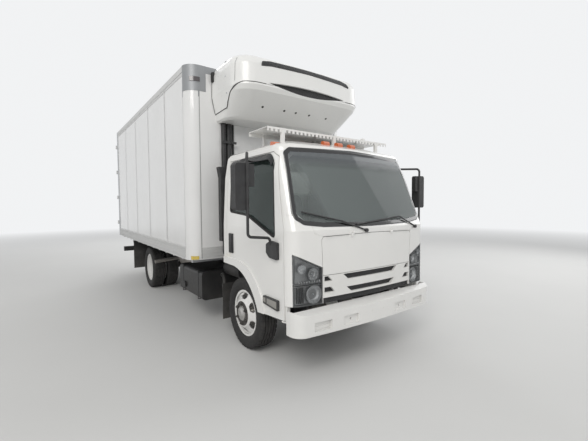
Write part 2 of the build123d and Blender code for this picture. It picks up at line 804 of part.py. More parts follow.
def box_door():
    """The right rear door: bevelled slab, hinge straps, lock rod with cams and its handle."""
    x = (-body_half + rear_post + box_door_gap, -box_door_gap / 2)
    y = (body_rear - box_door_thickness, body_rear)
    z = (rear_sill_top + box_door_gap, body_top - rear_header - box_door_gap)
    slab = polygon((x[0], y[0]), (x[1] - box_door_bevel, y[0]), (x[1], y[1]), (x[0], y[1]))
    door = upward(slab, z)
    for place in hinge_places:
        strap = polygon((-hinge_x - 6, hinge_y - 8), (-hinge_x + 4, hinge_y + 9), (x[0] + 40, body_rear + 10),
                        (x[0] + 190, body_rear + 8), (x[0] + 190, body_rear), (x[0] + 10, body_rear))
        height = (place - 30, place + 30)
        door = door + upward(strap, height) + rod(hinge_barrel_radius, (-hinge_x, hinge_y, height[0]),
                                                  (-hinge_x, hinge_y, height[1]))
        door = door - rod(hinge_pin_radius + pin_clearance, (-hinge_x, hinge_y, height[0] - 1),
                          (-hinge_x, hinge_y, height[1] + 1))
    rod_y = body_rear + lock_rod_stand
    rod_z = (rear_sill_top - 62, body_top - rear_header + 62)
    lock = rod(lock_rod_radius, (-lock_rod_x, rod_y, rod_z[0]), (-lock_rod_x, rod_y, rod_z[1]))
    for low in (rod_z[0], rod_z[1] - 36):
        lock = lock + block((-lock_rod_x - 18, -lock_rod_x + 18), (rod_y - 16, rod_y + 10), (low, low + 36))
    for middle in (z[0] + 150, z[0] + 760, z[0] + 1420, z[1] - 150):
        guide = (middle - 22, middle + 22)
        lock = lock + block((-lock_rod_x - 24, -lock_rod_x + 24), (body_rear, rod_y + 14), guide)
    handle_z = z[0] + 330
    handle = block((-lock_rod_x - 330, -lock_rod_x), (rod_y - 6, rod_y + 6), (handle_z - 14, handle_z + 14))
    catch = block((-lock_rod_x - 320, -lock_rod_x - 270), (body_rear, rod_y - 6), (handle_z - 30, handle_z + 30))
    return door + lock + handle + catch


save("box_door_right", box_door())
save("box_door_left", mirrored(box_door()))


def box_lamps():
    """Tail lamps in the sill, marker lamps in the header, and the front corner markers."""
    lamps = []
    for x in (-1120, -960):
        middle = (body_bottom + rear_sill_top) / 2
        lamps += pair(rod(52, (x, body_rear, middle), (x, body_rear + 14, middle)))
    for x in (-200, 0, 200):
        z = body_top - 45
        lamps.append(block((x - 50, x + 50), (body_rear, body_rear + 16), (z - 14, z + 14)))
    lamps += pair(block((-1230, -1130), (body_rear, body_rear + 16), (z - 14, z + 14)))
    low = upward(body_plan(14), (body_bottom + 8, body_bottom + 52)) - upward(body_plan(0), (0, 5000))
    lamps += pair(low & block((-1262, -1180), (0, body_front + body_corner), (0, 5000)))
    high = upward(body_plan(12), (body_top - 205, body_top - 150)) - upward(body_plan(4), (0, 5000))
    lamps += pair(high & block((-1250, -1130), (0, body_front + body_corner), (0, 5000)))
    return lamps


save("box_lamps", box_lamps())

# Cooling unit on the body's front wall, with its evaporator inside


def unit_plan(inset, front_move, half):
    """The unit's plan: a slightly bowed nose with large round corners, flat against the wall."""
    half = half - inset
    front = unit_front + front_move + inset
    side = front + unit_bulge
    back = body_front
    face = outline(((-half, side), (0, front), (half, side)), ((half, side), (half, back)),
                   ((half, back), (-half, back)), ((-half, back), (-half, side)))
    return fillet(face.vertices().sort_by(Axis.Y)[:2], unit_corner - inset)


def unit_form():
    """The whole outer form, from sloping belly to rounded top."""
    levels = [(2700, 0, 400, 880), (2722, 0, 365, 912), (2960, 0, 30, 962), (3010, 0, 0, unit_half),
              (unit_top - 130, 0, 10, unit_half - 6), (unit_top - 62, 14, 30, unit_half - 10),
              (unit_top - 24, 40, 60, unit_half - 14), (unit_top, 95, 110, unit_half - 30)]
    sections = [Pos(0, 0, z) * unit_plan(inset, move, half) for z, inset, move, half in levels]
    return loft(sections, ruled=True)


def above_seam(rise):
    """All above the line where the cover meets the belly, seen from the side."""
    front = unit_front - 100
    face = outline(((front, 3035 + rise), (unit_front + 90, 3035 + rise)),
                   ((unit_front + 90, 3035 + rise), (unit_front + 290, 2950 + rise), (unit_front + 440, 2815 + rise)),
                   ((unit_front + 440, 2815 + rise), (body_front + 50, 2802 + rise)),
                   ((body_front + 50, 2802 + rise), (body_front + 50, 3600)), ((body_front + 50, 3600), (front, 3600)),
                   ((front, 3600), (front, 3035 + rise)))
    return across(face, (-1200, 1200))


upper_slot = [(-690, 3232), (-672, 3286), (-560, 3312), (0, 3330), (560, 3312), (672, 3286), (690, 3232),
              (560, 3252), (0, 3270), (-560, 3252)]
lower_slot = (((-600, 3052), (0, 3084), (600, 3052)), ((600, 3052), (0, 2988), (-600, 3052)))
slot_depth = 70.0


def slot_cutters():
    y = (unit_front - 60, unit_front + slot_depth + 60)
    return [along(polygon(*upper_slot), y), along(outline(*lower_slot), y)]


form = unit_form()
cover = form & above_seam(0)
belly = form - above_seam(-unit_gap)
slots = slot_cutters()
nose_core = form & block((-800, 800), (unit_front - 50, unit_front + slot_depth), (2900, 3400))
for slot in slots:
    cover = cover - (slot & nose_core)
    belly = belly - (slot & nose_core)
vent_back = block((-800, 800), (unit_front + 32, unit_front + slot_depth), (2900, 3400))
grilles = [slot & nose_core & vent_back for slot in slots]
puck = rod(26, (-860, unit_front + 560, unit_top - 40), (-860, unit_front + 560, unit_top + 22)) - form
side_latch = block((-unit_half - 14, -unit_half + 30), (body_front - 70, body_front - 25), (3200, 3310)) - form
save("unit_cover", cover, puck, side_latch)
save("unit_belly", belly)
save("unit_grilles", grilles)


def evaporator():
    """The cold-side box under the ceiling, with three fan openings towards the load."""
    x = (-720, 720)
    y = (inner_y[0], inner_y[0] + 560)
    z = (body_top - roof_thickness - 310, body_top - roof_thickness)
    side = polygon((y[0], z[0]), (y[1] - 160, z[0]), (y[1], z[0] + 170), (y[1], z[1]), (y[0], z[1]))
    shape = across(side, x)
    for fan_x in (-460, 0, 460):
        shape = shape - rod(90, (fan_x, y[1] - 40, z[1] - 118), (fan_x, y[1] + 10, z[1] - 118))
    return shape


save("evaporator", evaporator())

hose_radius = 32.0


def unit_hoses():
    """Drain and fuel hoses in a clamped bundle down the front wall."""
    y = body_front - hose_radius
    hoses = [rod(hose_radius, (x, y, 1000), (x, y, 2715)) for x in (-830, -758)]
    hoses.append(rod(14, (-690, body_front - 14, 1000), (-690, body_front - 14, 2715)))
    clamp = block((-870, -668), (body_front - 78, body_front - 64), (2440, 2470))
    return [item - form for item in hoses] + [clamp]


save("unit_hoses", unit_hoses())

# Cab shell


def cab_plan(lean, half, inset, pull):
    """The cab's plan; lean is 0 at the belt and 1 at the roof's edge, pull draws the roof in."""
    half = half - inset - pull
    front = cab_front + lean * (roof_edge_front - cab_front) + inset + pull
    back = cab_back - inset - pull
    side = front + cab_bulge
    face = outline(((-half, side), (0, front), (half, side)), ((half, side), (half, back)),
                   ((half, back), (-half, back)), ((-half, back), (-half, side)))
    face = fillet(face.vertices().sort_by(Axis.Y)[:2], cab_corner - inset)
    return fillet(face.vertices().sort_by(Axis.Y)[-2:], 70 - inset)


roof_bands = 4


def cab_form(inset):
    """The cab's outer form, or the same form drawn in by the thickness of its walls."""
    foot = cab_bottom - (20 if inset else 0)
    radius = roof_edge_radius - inset
    turn_lean = (side_turn_z - belt_z) / (roof_edge_z - belt_z)
    edge = roof_edge_half
    levels = [(belt_z, 0, cab_half, 0), (side_turn_z, turn_lean, side_turn_half, 0), (roof_edge_z, 1, edge, 0)]
    for i in range(1, roof_bands + 1):
        turn = Vector(radius, 0).rotate(Axis.Z, 90 * i / roof_bands)
        levels.append((roof_edge_z + turn.Y, 1, edge, radius - turn.X))
    edge_top = roof_edge_z + radius
    levels += [(edge_top + 0.6 * roof_crown, 1, edge, radius + 130), (edge_top + roof_crown, 1, edge, radius + 300)]
    sections = [Pos(0, 0, z) * cab_plan(lean, half, inset, pull) for z, lean, half, pull in levels]
    return upward(cab_plan(0, cab_half, inset, 0), (foot, belt_z)) + loft(sections, ruled=True)


outer = cab_form(0)
inner = cab_form(cab_wall)
shell = outer - inner

arch_top = 953.0
arch_inner = (((720, 541), (895, 785), (1250, 943)), ((1250, 943), (cab_back + 10, 953)))
arch_outer = (((600, 541), (790, 875), (1180, 1018)), ((1180, 1018), (cab_back + 10, 1031)))


def door_face(grow):
    """The door's outline in side view, following the wheel arch, the belt and the sloping pillar."""
    arch_end = 949
    face = outline(((door_front, 571), (720, 541)), arch_inner[0], ((1250, 943), (door_rear, arch_end)),
                   ((door_rear, arch_end), (door_rear, door_top - 60)),
                   ((door_rear, door_top - 60), (door_rear - 40, door_top)),
                   ((door_rear - 40, door_top), (510, door_top)), ((510, door_top), (440, door_top - 50)),
                   ((440, door_top - 50), (door_front, belt_z)), ((door_front, belt_z), (door_front, 571)))
    return offset(face, grow) if grow else face


def window_face(grow):
    """The door window: level at the back, then dropping to the front corner."""
    face = polygon((405, 1326), (960, 1532), (1372, 1566), (1372, 2104), (560, 2104), (474, 2036))
    face = fillet(face.vertices().sort_by(Axis.Y)[-3:], 34)
    return offset(face, grow) if grow else face


right_side = (-cab_half - 100, -cab_half + 250)
door_hole = across(door_face(door_gap), right_side)
below_arch = across(outline(arch_inner[0], ((1250, 943), (cab_back + 10, 953)), ((cab_back + 10, 953), (cab_back + 10, 500)),
                            ((cab_back + 10, 500), (720, 500)), ((720, 500), (720, 541))), right_side)


def door_shell():
    """The right door's frame and skin, with the arch lip and the window opening."""
    door = shell & across(door_face(0), right_side)
    lip = outline(arch_inner[0], ((1250, 943), (door_rear, 949)), ((door_rear, 949), (door_rear, 1027)),
                  ((door_rear, 1027), (1180, 1018)), (arch_outer[0][2], arch_outer[0][1], (600, 549)),
                  ((600, 549), (720, 541)))
    door = door + across(lip, (-cab_half - flare_rise, -cab_half + 5))
    return door - across(window_face(0), right_side)


def door_glass():
    pane = cab_form(door_glass_depth) - cab_form(door_glass_depth + glass_thickness)
    return pane & across(window_face(glass_lap), right_side)


def hinge_foot():
    """The right bracket on the front panel with the door's lower hinge pin."""
    y = door_front + door_hinge_back
    x = -cab_half + door_hinge_depth
    foot = polygon((x + 3, 222), (x + 37, 222), (x + 37, y + 12), (x - 7, y + 12), (x - 7, y - 12), (x + 3, y - 22))
    post = block((x + 3, x + 37), (222, door_front - door_gap), (hinge_foot_z, front_bottom + 5))
    return upward(foot, (hinge_foot_z, hinge_foot_z + 12)) + post + rod(4, (x, y, hinge_foot_z), (x, y, hinge_foot_z + 52))


hinge_foot_z = 548.0
hinge_line = (-cab_half + door_hinge_depth, door_front + door_hinge_back)
door_bore = rod(4 + pin_clearance, (*hinge_line, 500), (*hinge_line, hinge_foot_z + 54))
glass = door_glass()
door = door_shell() - glass - door_bore
save("cab_door_right", door)
save("cab_door_left", mirrored(door))
save("door_glass_right", glass)
save("door_glass_left", mirrored(glass))

# Cab panels

opened = shell - door_hole - mirrored(door_hole) - below_arch - mirrored(below_arch)
wide = (-cab_half - 50, cab_half + 50)
roof = opened & block(wide, (0, 2000), (roof_split, 3000))
back = opened & block(wide, (door_rear, 2000), (arch_top, roof_split))
nose = opened & block(wide, (0, door_front + 400), (500, roof_split))
under_nose = block(wide, (0, door_front - door_gap), (400, front_bottom))
under_nose = under_nose + block(wide, (door_front - door_gap, 800), (400, 600))
nose = nose - under_nose

rear_lip = outline(((door_rear + door_gap, 949), (cab_back, 953)), ((cab_back, 953), (cab_back, 1031)),
                   ((cab_back, 1031), (door_rear + door_gap, 1027)), ((door_rear + door_gap, 1027), (door_rear + door_gap, 949)))
rear_lip = across(rear_lip, (-cab_half - flare_rise, -cab_half + 5)) & block(wide, (0, cab_back - 70), (0, 2000))
back = back + rear_lip + mirrored(rear_lip)
rear_window = rounded(polygon((-rear_window_half, rear_window_z[0]), (rear_window_half, rear_window_z[0]),
                              (rear_window_half, rear_window_z[1]), (-rear_window_half, rear_window_z[1])), 40)
back = back - along(rear_window, (cab_back - 200, cab_back + 50))
rear_pane = along(offset(rear_window, glass_lap), (cab_back - 30, cab_back - 30 + glass_thickness))
back = back - rear_pane
save("cab_back", back)

screen_opening = [(-620, 1462), (0, 1450), (620, 1462), (820, 1486), (893, 1550), (848, 2072), (778, 2124),
                  (-778, 2124), (-848, 2072), (-893, 1550), (-820, 1486)]
screen_edge = [(-640, 1426), (0, 1414), (640, 1426), (850, 1450), (925, 1500), (940, 1560), (878, 2150), (820, 2198),
               (0, 2224), (-820, 2198), (-878, 2150), (-940, 1560), (-925, 1500), (-850, 1450)]
screen_y = (0, 640)
screen_radius = 60.0
screen_hole = along(rounded(polygon(*screen_opening), screen_radius), screen_y)
screen_land = along(rounded(polygon(*screen_edge), screen_radius), screen_y)
skin = cab_form(0) - cab_form(2 + glass_thickness)
pane_form = cab_form(2) - cab_form(2 + glass_thickness)
screen_seat = skin & screen_land
nose = nose - screen_hole - screen_seat
roof = roof - screen_seat
windscreen = pane_form & screen_land
seam_skin = cab_form(0) - cab_form(4)
cowl_seam = polygon((640, 1333), (754, 1368), (771, 1440), (766, 1441), (749, 1373), (638, 1338))
pillar_seam = polygon((900, 1537), (1100, 1537), (1100, 1542), (900, 1542))
for seam in (cowl_seam, pillar_seam):
    groove = seam_skin & along(seam, (0, door_front - door_gap))
    nose = nose - groove - mirrored(groove)
save("cab_roof", roof)
save("cab_glass", windscreen, rear_pane)

# Front lid, grille and lamps


def lid_face(grow):
    """The lid's outline in front view, its upper corners cut a little."""
    h = lid_half + grow
    low, high = lid_z[0] - grow, lid_z[1] + grow
    foot = lid_foot_half + grow
    return polygon((-foot, low), (foot, low), (h, high - 40), (h - 22, high - 12), (0, high), (-h + 22, high - 12),
                   (-h, high - 40))


front_y = (0, 400)
lid_skin = cab_form(0) - cab_form(lid_thickness)
front_lid = lid_skin & along(lid_face(0), front_y)
recess_skin = cab_form(0) - cab_form(lid_thickness + panel_gap)
nose = nose - (recess_skin & along(lid_face(panel_gap), front_y))
lid_axis_y = 73.0
lid_axis_z = 1349.0


def lid_hinge(x):
    """One hinge of the lid: the eye on the lid, the pin and its ears on the cowl, and their notch."""
    start = (lid_axis_y, lid_axis_z)
    eye = rod(7, (x - 12, *start), (x + 12, *start))
    eye = eye + block((x - 12, x + 12), (lid_axis_y - 7, lid_axis_y + 11), (lid_axis_z - 26, lid_axis_z - 2))
    eye = eye - rod(4 + pin_clearance, (x - 20, *start), (x + 20, *start))
    pin = rod(4, (x - 24, *start), (x + 24, *start))
    for low in (x - 24, x + 14):
        pin = pin + rod(7, (low, *start), (low + 10, *start))
        pin = pin + block((low, low + 10), (lid_axis_y - 7, lid_axis_y + 12), (lid_axis_z, lid_axis_z + 26))
    lid_notch = rod(12, (x - 26, *start), (x - 12, *start)) + rod(12, (x + 12, *start), (x + 26, *start))
    cowl_notch = rod(12, (x - 14, *start), (x + 14, *start))
    return eye, pin, lid_notch, cowl_notch


for hinge_at in (-300, 300):
    eye, pin, lid_notch, cowl_notch = lid_hinge(hinge_at)
    front_lid = (front_lid - lid_notch) + eye
    nose = (nose - cowl_notch) + pin
nose = nose + hinge_foot() + mirrored(hinge_foot())
save("front_lid", front_lid)

long_slots = [(410, 345, 908, 962), (365, 300, 780, 832)]
side_slots = [(640, 590, 545, 914, 962), (640, 560, 515, 808, 858)]


def grille_slots():
    """Two long slots that narrow downwards, and two short ones at each side."""
    cutters = []
    for top, foot, low, high in long_slots:
        cutters.append(polygon((-top, high), (top, high), (foot, low), (-foot, low)))
    for outside, top, foot, low, high in side_slots:
        cutters.append(polygon((-outside, high), (-top, high), (-foot, low), (-outside, low)))
        cutters.append(polygon((outside, high), (top, high), (foot, low), (outside, low)))
    return cutters


grille_z = (front_bottom + 48, lid_z[0] - panel_gap)
grille_face = polygon((-lid_foot_half, grille_z[0]), (lid_foot_half, grille_z[0]), (lid_foot_half, grille_z[1]),
                      (-lid_foot_half, grille_z[1]))
hole_half = lid_foot_half + 3
grille_hole = along(polygon((-hole_half, front_bottom - 10), (hole_half, front_bottom - 10),
                            (hole_half, grille_z[1]), (-hole_half, grille_z[1])), front_y)
grille = lid_skin & along(grille_face, front_y)
for face in grille_slots():
    grille = grille - along(face, front_y)
mesh_skin = cab_form(lid_thickness) - cab_form(cab_wall)
grille_mesh = mesh_skin & grille_hole
nose = nose - (shell & grille_hole)
save("grille", grille)
save("grille_mesh", grille_mesh)

lamp_inner = -lid_foot_half - 9
lamp_face = polygon((-965, 1190), (lamp_inner, 1052), (lamp_inner, 700), (-962, 700))
lamp_block = along(lamp_face, (0, door_front - 15))
lamp_skin = cab_form(0) - cab_form(45)
headlamp = lamp_skin & lamp_block & block((-2000, 0), (0, 400), (front_bottom, 2000))
nose = nose - headlamp - mirrored(headlamp)
lamp_split = 905.0
divider = block((-2000, 0), (0, 400), (lamp_split - 4, lamp_split + 4)) - cab_form(20)
main_lamps = pair(headlamp - divider)


def marker(x, top):
    """One lamp on the roof's front edge, low at its nose."""
    side = polygon((556, 2150), (616, 2150), (616, top - 8), (596, top), (572, top - 4), (556, top - 24))
    return across(side, (x - 40, x + 40)) - outer


marker_places = [(-862, 2268), (-200, 2340), (0, 2342), (200, 2340), (862, 2268)]
save("cab_front", nose)
save("cab_lamps", main_lamps, [marker(x, top) for x, top in marker_places])

# Cab floor, wheel housings, steps and tilt arms


def cab_floor():
    """Foot well, step up and seat platform as one bent plate, with entry steps and tilt arms."""
    half = cab_half - cab_wall - floor_side_gap
    p = floor_plate
    ribbon = polygon((0, floor_z - p), (platform_front + p, floor_z - p), (platform_front + p, platform_bottom),
                     (cab_back, platform_bottom), (cab_back, platform_z), (platform_front, platform_z),
                     (platform_front, floor_z), (0, floor_z))
    shape = across(ribbon, (-half, half)) & inner
    side = half
    for x in ((-side, -side + 230), (side - 230, side)):
        shape = shape + block(x, (290, 600), (step_z - 40, step_z))
        shape = shape + block((x[0], x[0] + 20) if x[0] > 0 else (x[1] - 20, x[1]), (290, 600), (step_z, floor_z - p + 5))
    for x in (-tilt_arm_x, tilt_arm_x):
        lo, hi = x - tilt_arm_width / 2, x + tilt_arm_width / 2
        arm = polygon((tilt_y, tilt_z - 26), (tilt_y + 210, tilt_z - 26), (tilt_y + 210, floor_z - p + 1),
                      (tilt_y + 130, floor_z - p + 1), (tilt_y + 140, tilt_z + 26), (tilt_y, tilt_z + 26))
        shape = shape + across(arm, (lo, hi)) + rod(26, (lo, tilt_y, tilt_z), (hi, tilt_y, tilt_z))
        shape = shape - rod(tilt_pin_radius + pin_clearance, (lo - 1, tilt_y, tilt_z), (hi + 1, tilt_y, tilt_z))
    return shape


save("cab_floor", cab_floor())


def wheel_liner():
    """The right black liner that follows the wheel arch under the seat platform."""
    t = 8.0
    back = cab_back - cab_wall
    face = outline(((668, 560), (850, 850), (1240, platform_bottom)), ((1240, platform_bottom), (back, platform_bottom)),
                   ((back, platform_bottom), (back, platform_bottom - t)),
                   ((back, platform_bottom - t), (1240, platform_bottom - t)),
                   ((1240, platform_bottom - t), (857, 843), (676, 560)), ((676, 560), (668, 560)))
    return across(face, (-cab_half + cab_wall + floor_side_gap, -590))


save("wheel_liners", pair(wheel_liner()))

# Inside the cab


def seats():
    """A driver's seat on the left and a double passenger seat on the right."""
    pieces = []
    for x in ((-830, 90), (190, 690)):
        cushion = block(x, (800, 1290), (platform_z, platform_z + 150))
        cushion = fillet(cushion.edges().filter_by(Axis.X).group_by(Axis.Z)[-1], 40)
        back_rest = across(polygon((1290, platform_z), (1400, platform_z), (1470, 1800), (1380, 1800),
                                   (1290, platform_z + 190)), x)
        pieces += [cushion, back_rest]
    return pieces


def dashboard():
    """Dashboard across the cab, with the steering column and wheel on the left."""
    section = polygon((0, 1000), (360, 1000), (430, 1180), (420, 1300), (330, 1372), (0, 1372))
    half = cab_half - cab_wall - floor_side_gap
    board = across(section, (-half, half)) & inner
    column = rod(28, (420, 350, 1150), (420, 640, 1400))
    hub = Plane(origin=(420, 640, 1400), z_dir=(0, 290, 250))
    rim = hub * Torus(205, 15)
    spoke = hub * Box(400, 30, 12)
    boss = hub * Cylinder(62, 40)
    return [board + column + boss + spoke + rim]


save("seats", seats())
save("dashboard", dashboard())

# Roof deck, wipers and the fittings on each door


def roof_deck():
    """A raised plate with a notched front edge, on feet that stand on the roof."""
    plate = block((-deck_half, deck_half), deck_y, (deck_top - deck_plate, deck_top))
    flange = block((-deck_half, deck_half), (deck_y[0], deck_y[0] + deck_plate), (deck_top - deck_flange, deck_top))
    rear = block((-deck_half, deck_half), (deck_y[1] - deck_plate, deck_y[1]), (deck_top - deck_flange, deck_top))
    pitch = 2 * deck_half / deck_notches
    for i in range(deck_notches):
        x = -deck_half + (i + 0.25) * pitch
        flange = flange - block((x, x + pitch / 2), (deck_y[0] - 1, deck_y[0] + deck_plate + 1),
                                (deck_top - deck_flange - 1, deck_top - deck_flange + 24))
    deck = plate + flange + rear
    for x in (-720, 0, 720):
        for y in (deck_y[0], deck_y[1] - 30):
            deck = deck + (block((x - 20, x + 20), (y, y + 30), (2200, deck_top - 3)) - outer)
    gadget = block((760, 800), (deck_y[1] - 120, deck_y[1] - 80), (deck_top, deck_top + 95))
    return deck + gadget


save("roof_deck", roof_deck())


def before_glass(x, z, gap):
    """A point a gap in front of the cab's face, at an x and a height."""
    lean = max(0.0, (z - belt_z) / (roof_edge_z - belt_z))
    front = cab_front + lean * (roof_edge_front - cab_front)
    return (x, front + cab_bulge * (x / cab_half) ** 2 - gap, z)


def wiper(pivot, elbow, tip):
    """A foot on the cowl, an arm that bends at its elbow and a blade on the glass."""
    foot = rod(19, before_glass(*pivot, 24), before_glass(*pivot, -30)) - outer
    arm = bent_rod(8, [before_glass(*pivot, 17), before_glass(*elbow, 26), before_glass(*tip, 17)], 60)
    return foot + arm


save("wipers", wiper((-105, 1376), (-420, 1478), (-856, 1572)), wiper((760, 1380), (470, 1503), (-235, 1440)))


def mirror_set():
    """Right door fittings: mirror tube, main and wide mirrors, handle, turn lamp and rain visor."""
    tube_x, tube_y = -1282.0, 400.0
    arm_top = door_top - 20
    loop = [(-cab_half - 14, 438, 1240), (-cab_half - 44, 430, 1326), (tube_x, tube_y, 1352),
            (tube_x, tube_y, arm_top - 30), (-roof_edge_half + 8, 1085, arm_top)]
    arm = bent_rod(13, loop, 40)
    base = polygon((329, 1122), (465, 1135), (520, 1178), (518, 1262), (444, 1296), (329, 1284))
    base = across(rounded(base, 16), (-cab_half - 30, -cab_half))
    clamp = across(rounded(polygon((1030, arm_top - 22), (1140, arm_top - 22), (1140, arm_top + 14), (1030, arm_top + 14)), 8),
                   (-roof_edge_half - 30, -roof_edge_half + 60))
    head = block((-1395, -1262), (404, 500), (1590, 2010))
    head = fillet(head.edges().filter_by(Axis.Y), 30)
    wide = block((-1275, -1206), (404, 452), (1805, 2005))
    handle = block((-cab_half - 12, -cab_half), (1285, 1385), (1085, 1310))
    lamp = across(rounded(polygon((330, 640), (600, 664), (600, 742), (330, 742)), 14), (-cab_half - 22, -cab_half))
    return [((arm + clamp) - outer) + base + head + wide, handle, lamp]


fittings = mirror_set()
save("door_fittings_right", fittings)
save("door_fittings_left", [mirrored(item) for item in fittings])

# Rear bumper


def rear_bumper():
    """Underride bar on two stays bolted to the rails."""
    y = (overall_length - 80, overall_length)
    bar = block((-rear_bumper_half, rear_bumper_half), y, rear_bumper_z)
    stay = polygon((body_rear - 330, rail_top - 20), (body_rear - 330, rail_bottom + 20), (y[0] - 60, rear_bumper_z[0]),
                   (y[0], rear_bumper_z[0]), (y[0], rear_bumper_z[1]), (body_rear - 70, rail_top - 20))
    plate = across(stay, (-rail_outer - 10, -rail_outer))
    return bar + plate + mirrored(plate)


save("rear_bumper", rear_bumper())
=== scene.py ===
import json
import math

import bmesh
import bpy
from mathutils import Matrix, Vector
from mathutils.bvhtree import BVHTree


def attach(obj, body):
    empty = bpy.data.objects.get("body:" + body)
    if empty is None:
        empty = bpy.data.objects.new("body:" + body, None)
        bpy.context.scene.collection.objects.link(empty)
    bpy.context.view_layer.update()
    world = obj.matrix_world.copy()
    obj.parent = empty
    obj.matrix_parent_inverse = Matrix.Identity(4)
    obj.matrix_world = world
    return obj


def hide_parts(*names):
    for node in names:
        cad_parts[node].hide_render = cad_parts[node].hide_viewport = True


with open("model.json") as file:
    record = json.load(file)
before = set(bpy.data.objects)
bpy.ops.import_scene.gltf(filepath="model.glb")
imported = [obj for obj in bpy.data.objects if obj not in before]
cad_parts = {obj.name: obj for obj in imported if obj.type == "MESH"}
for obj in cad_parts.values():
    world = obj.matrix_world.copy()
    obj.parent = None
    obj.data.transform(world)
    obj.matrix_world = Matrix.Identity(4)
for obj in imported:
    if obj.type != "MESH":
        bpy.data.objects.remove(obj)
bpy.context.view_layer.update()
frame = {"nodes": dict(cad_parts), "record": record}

# Lengths are metres in the truck's frame: the front faces -Y, +X is the driver's side, z 0 the ground.
# Y is often given from the front bumper's face, which lies at FRONT. What both sides have alike is
# written for the right side, where X is negative, and mirrored.
FRONT = -3.521


def back(y):
    """A distance behind the bumper's face as a Y of the truck's frame."""
    return FRONT + y


AXLE_Z = 0.403
FRONT_AXLE = back(1.165)
REAR_AXLE = back(4.975)

# Shader expressions


class Value:
    """An output socket in an expression: each operator adds a Math node."""

    def __init__(self, nodes, socket):
        self.nodes = nodes
        self.socket = socket

    def calc(self, operation, *others, clamp=False):
        return self.nodes.calc(operation, self, *others, clamp=clamp)

    def __add__(self, other):
        return self.calc("ADD", other)

    __radd__ = __add__

    def __sub__(self, other):
        return self.calc("SUBTRACT", other)

    def __rsub__(self, other):
        return self.nodes.calc("SUBTRACT", other, self)

    def __mul__(self, other):
        return self.calc("MULTIPLY", other)

    __rmul__ = __mul__

    def __truediv__(self, other):
        return self.calc("DIVIDE", other)

    def __pow__(self, other):
        return self.calc("POWER", other)

    def __gt__(self, other):
        return self.calc("GREATER_THAN", other)

    def __lt__(self, other):
        return self.calc("LESS_THAN", other)

    def abs(self):
        return self.calc("ABSOLUTE")

    def least(self, other):
        return self.calc("MINIMUM", other)

    def most(self, other):
        return self.calc("MAXIMUM", other)

    def saw(self, period):
        """Position inside a repeated stretch, from 0 to the period."""
        return self.calc("FLOORED_MODULO", period)

    def clamped(self):
        """The value kept between 0 and 1."""
        return self.calc("ADD", 0.0, clamp=True)

    def ramp(self, low, high):
        """0 below low, 1 above high and straight between; low may be the larger."""
        return ((self - low) / (high - low)).clamped()


class Nodes:
    """The nodes of a material or of the world."""

    def __init__(self, owner, output):
        owner.use_nodes = True
        self.owner = owner
        self.tree = owner.node_tree
        self.tree.nodes.clear()
        self.out = self.tree.nodes.new(output)

    def add(self, kind, settings=None, inputs=None, out=0):
        """Adds a node of one kind: its settings first, then the values or links of its sockets."""
        node = self.tree.nodes.new(kind)
        for name, value in (settings or {}).items():
            setattr(node, name, value)
        for key, value in (inputs or {}).items():
            if isinstance(value, Value):
                self.tree.links.new(value.socket, node.inputs[key])
            else:
                node.inputs[key].default_value = value
        return Value(self, node.outputs[out])

    def calc(self, operation, *terms, clamp=False):
        settings = {"operation": operation, "use_clamp": clamp}
        return self.add("ShaderNodeMath", settings, dict(enumerate(terms)))

    def mix(self, factor, first, second):
        """The first shader where the factor is 0, and the second where it is 1."""
        return self.add("ShaderNodeMixShader", {}, {0: factor, 1: first, 2: second})

    def seen(self):
        """1 for what the camera sees, also in gloss and through glass, and 0 for light on the truck."""
        kinds = ("Is Camera Ray", "Is Glossy Ray", "Is Transmission Ray")
        return sum(self.add("ShaderNodeLightPath", out=kind) for kind in kinds).least(1.0)

    def end(self, shader):
        """Shows a shader, and gives back the material or the world."""
        self.tree.links.new(shader.socket, self.out.inputs["Surface"])
        return self.owner


class Finish(Nodes):
    """One procedural material on Object coordinates."""

    def __init__(self, name):
        super().__init__(bpy.data.materials.new(name), "ShaderNodeOutputMaterial")
        self.place = self.add("ShaderNodeTexCoord", out="Object")
        self.x, self.y, self.z = (self.add("ShaderNodeSeparateXYZ", {}, {0: self.place}, out=axis)
                                  for axis in "XYZ")

    def blend(self, factor, first, second):
        """Mixes two colours, given as (r, g, b) or as values."""
        ends = [end if isinstance(end, Value) else (*end, 1.0) for end in (first, second)]
        inputs = {0: factor, 6: ends[0], 7: ends[1]}
        return self.add("ShaderNodeMix", {"data_type": "RGBA"}, inputs, out=2)

    def stretched(self, scale):
        """The place on the piece, scaled along x, y and z."""
        return self.add("ShaderNodeMapping", {}, {"Vector": self.place, "Scale": scale})

    def noise(self, scale, detail=3.0, rough=0.55, vector=None):
        inputs = {"Vector": vector or self.place, "Scale": scale, "Detail": detail, "Roughness": rough}
        return self.add("ShaderNodeTexNoise", {}, inputs, out="Fac")

    def cells(self, scale):
        return self.add("ShaderNodeTexVoronoi", {}, {"Vector": self.place, "Scale": scale}, out="Distance")

    def ridges(self, along, number):
        """V-shaped ribs, so many to a metre."""
        return ((along * number).saw(1.0) - 0.5).abs()

    def bump(self, height, distance, strength):
        return self.add("ShaderNodeBump", {}, {"Strength": strength, "Distance": distance, "Height": height})

    def fresnel(self):
        return self.add("ShaderNodeFresnel", {}, {"IOR": GLASS_IOR})

    def principled(self, colour, **sockets):
        """The main shader; other sockets are written with _ for each space."""
        inputs = {key.replace("_", " "): value for key, value in sockets.items()}
        inputs["Base Color"] = colour if isinstance(colour, Value) else (*colour, 1.0)
        return self.add("ShaderNodeBsdfPrincipled", {}, inputs)

    def glass(self, keep, tint, skin):
        """See-through with a tint where keep is 0, and the skin's own look where it is 1."""
        clear = self.add("ShaderNodeBsdfTransparent", {}, {"Color": (*tint, 1.0)})
        return self.mix(keep.clamped(), clear, skin)


# Finishes

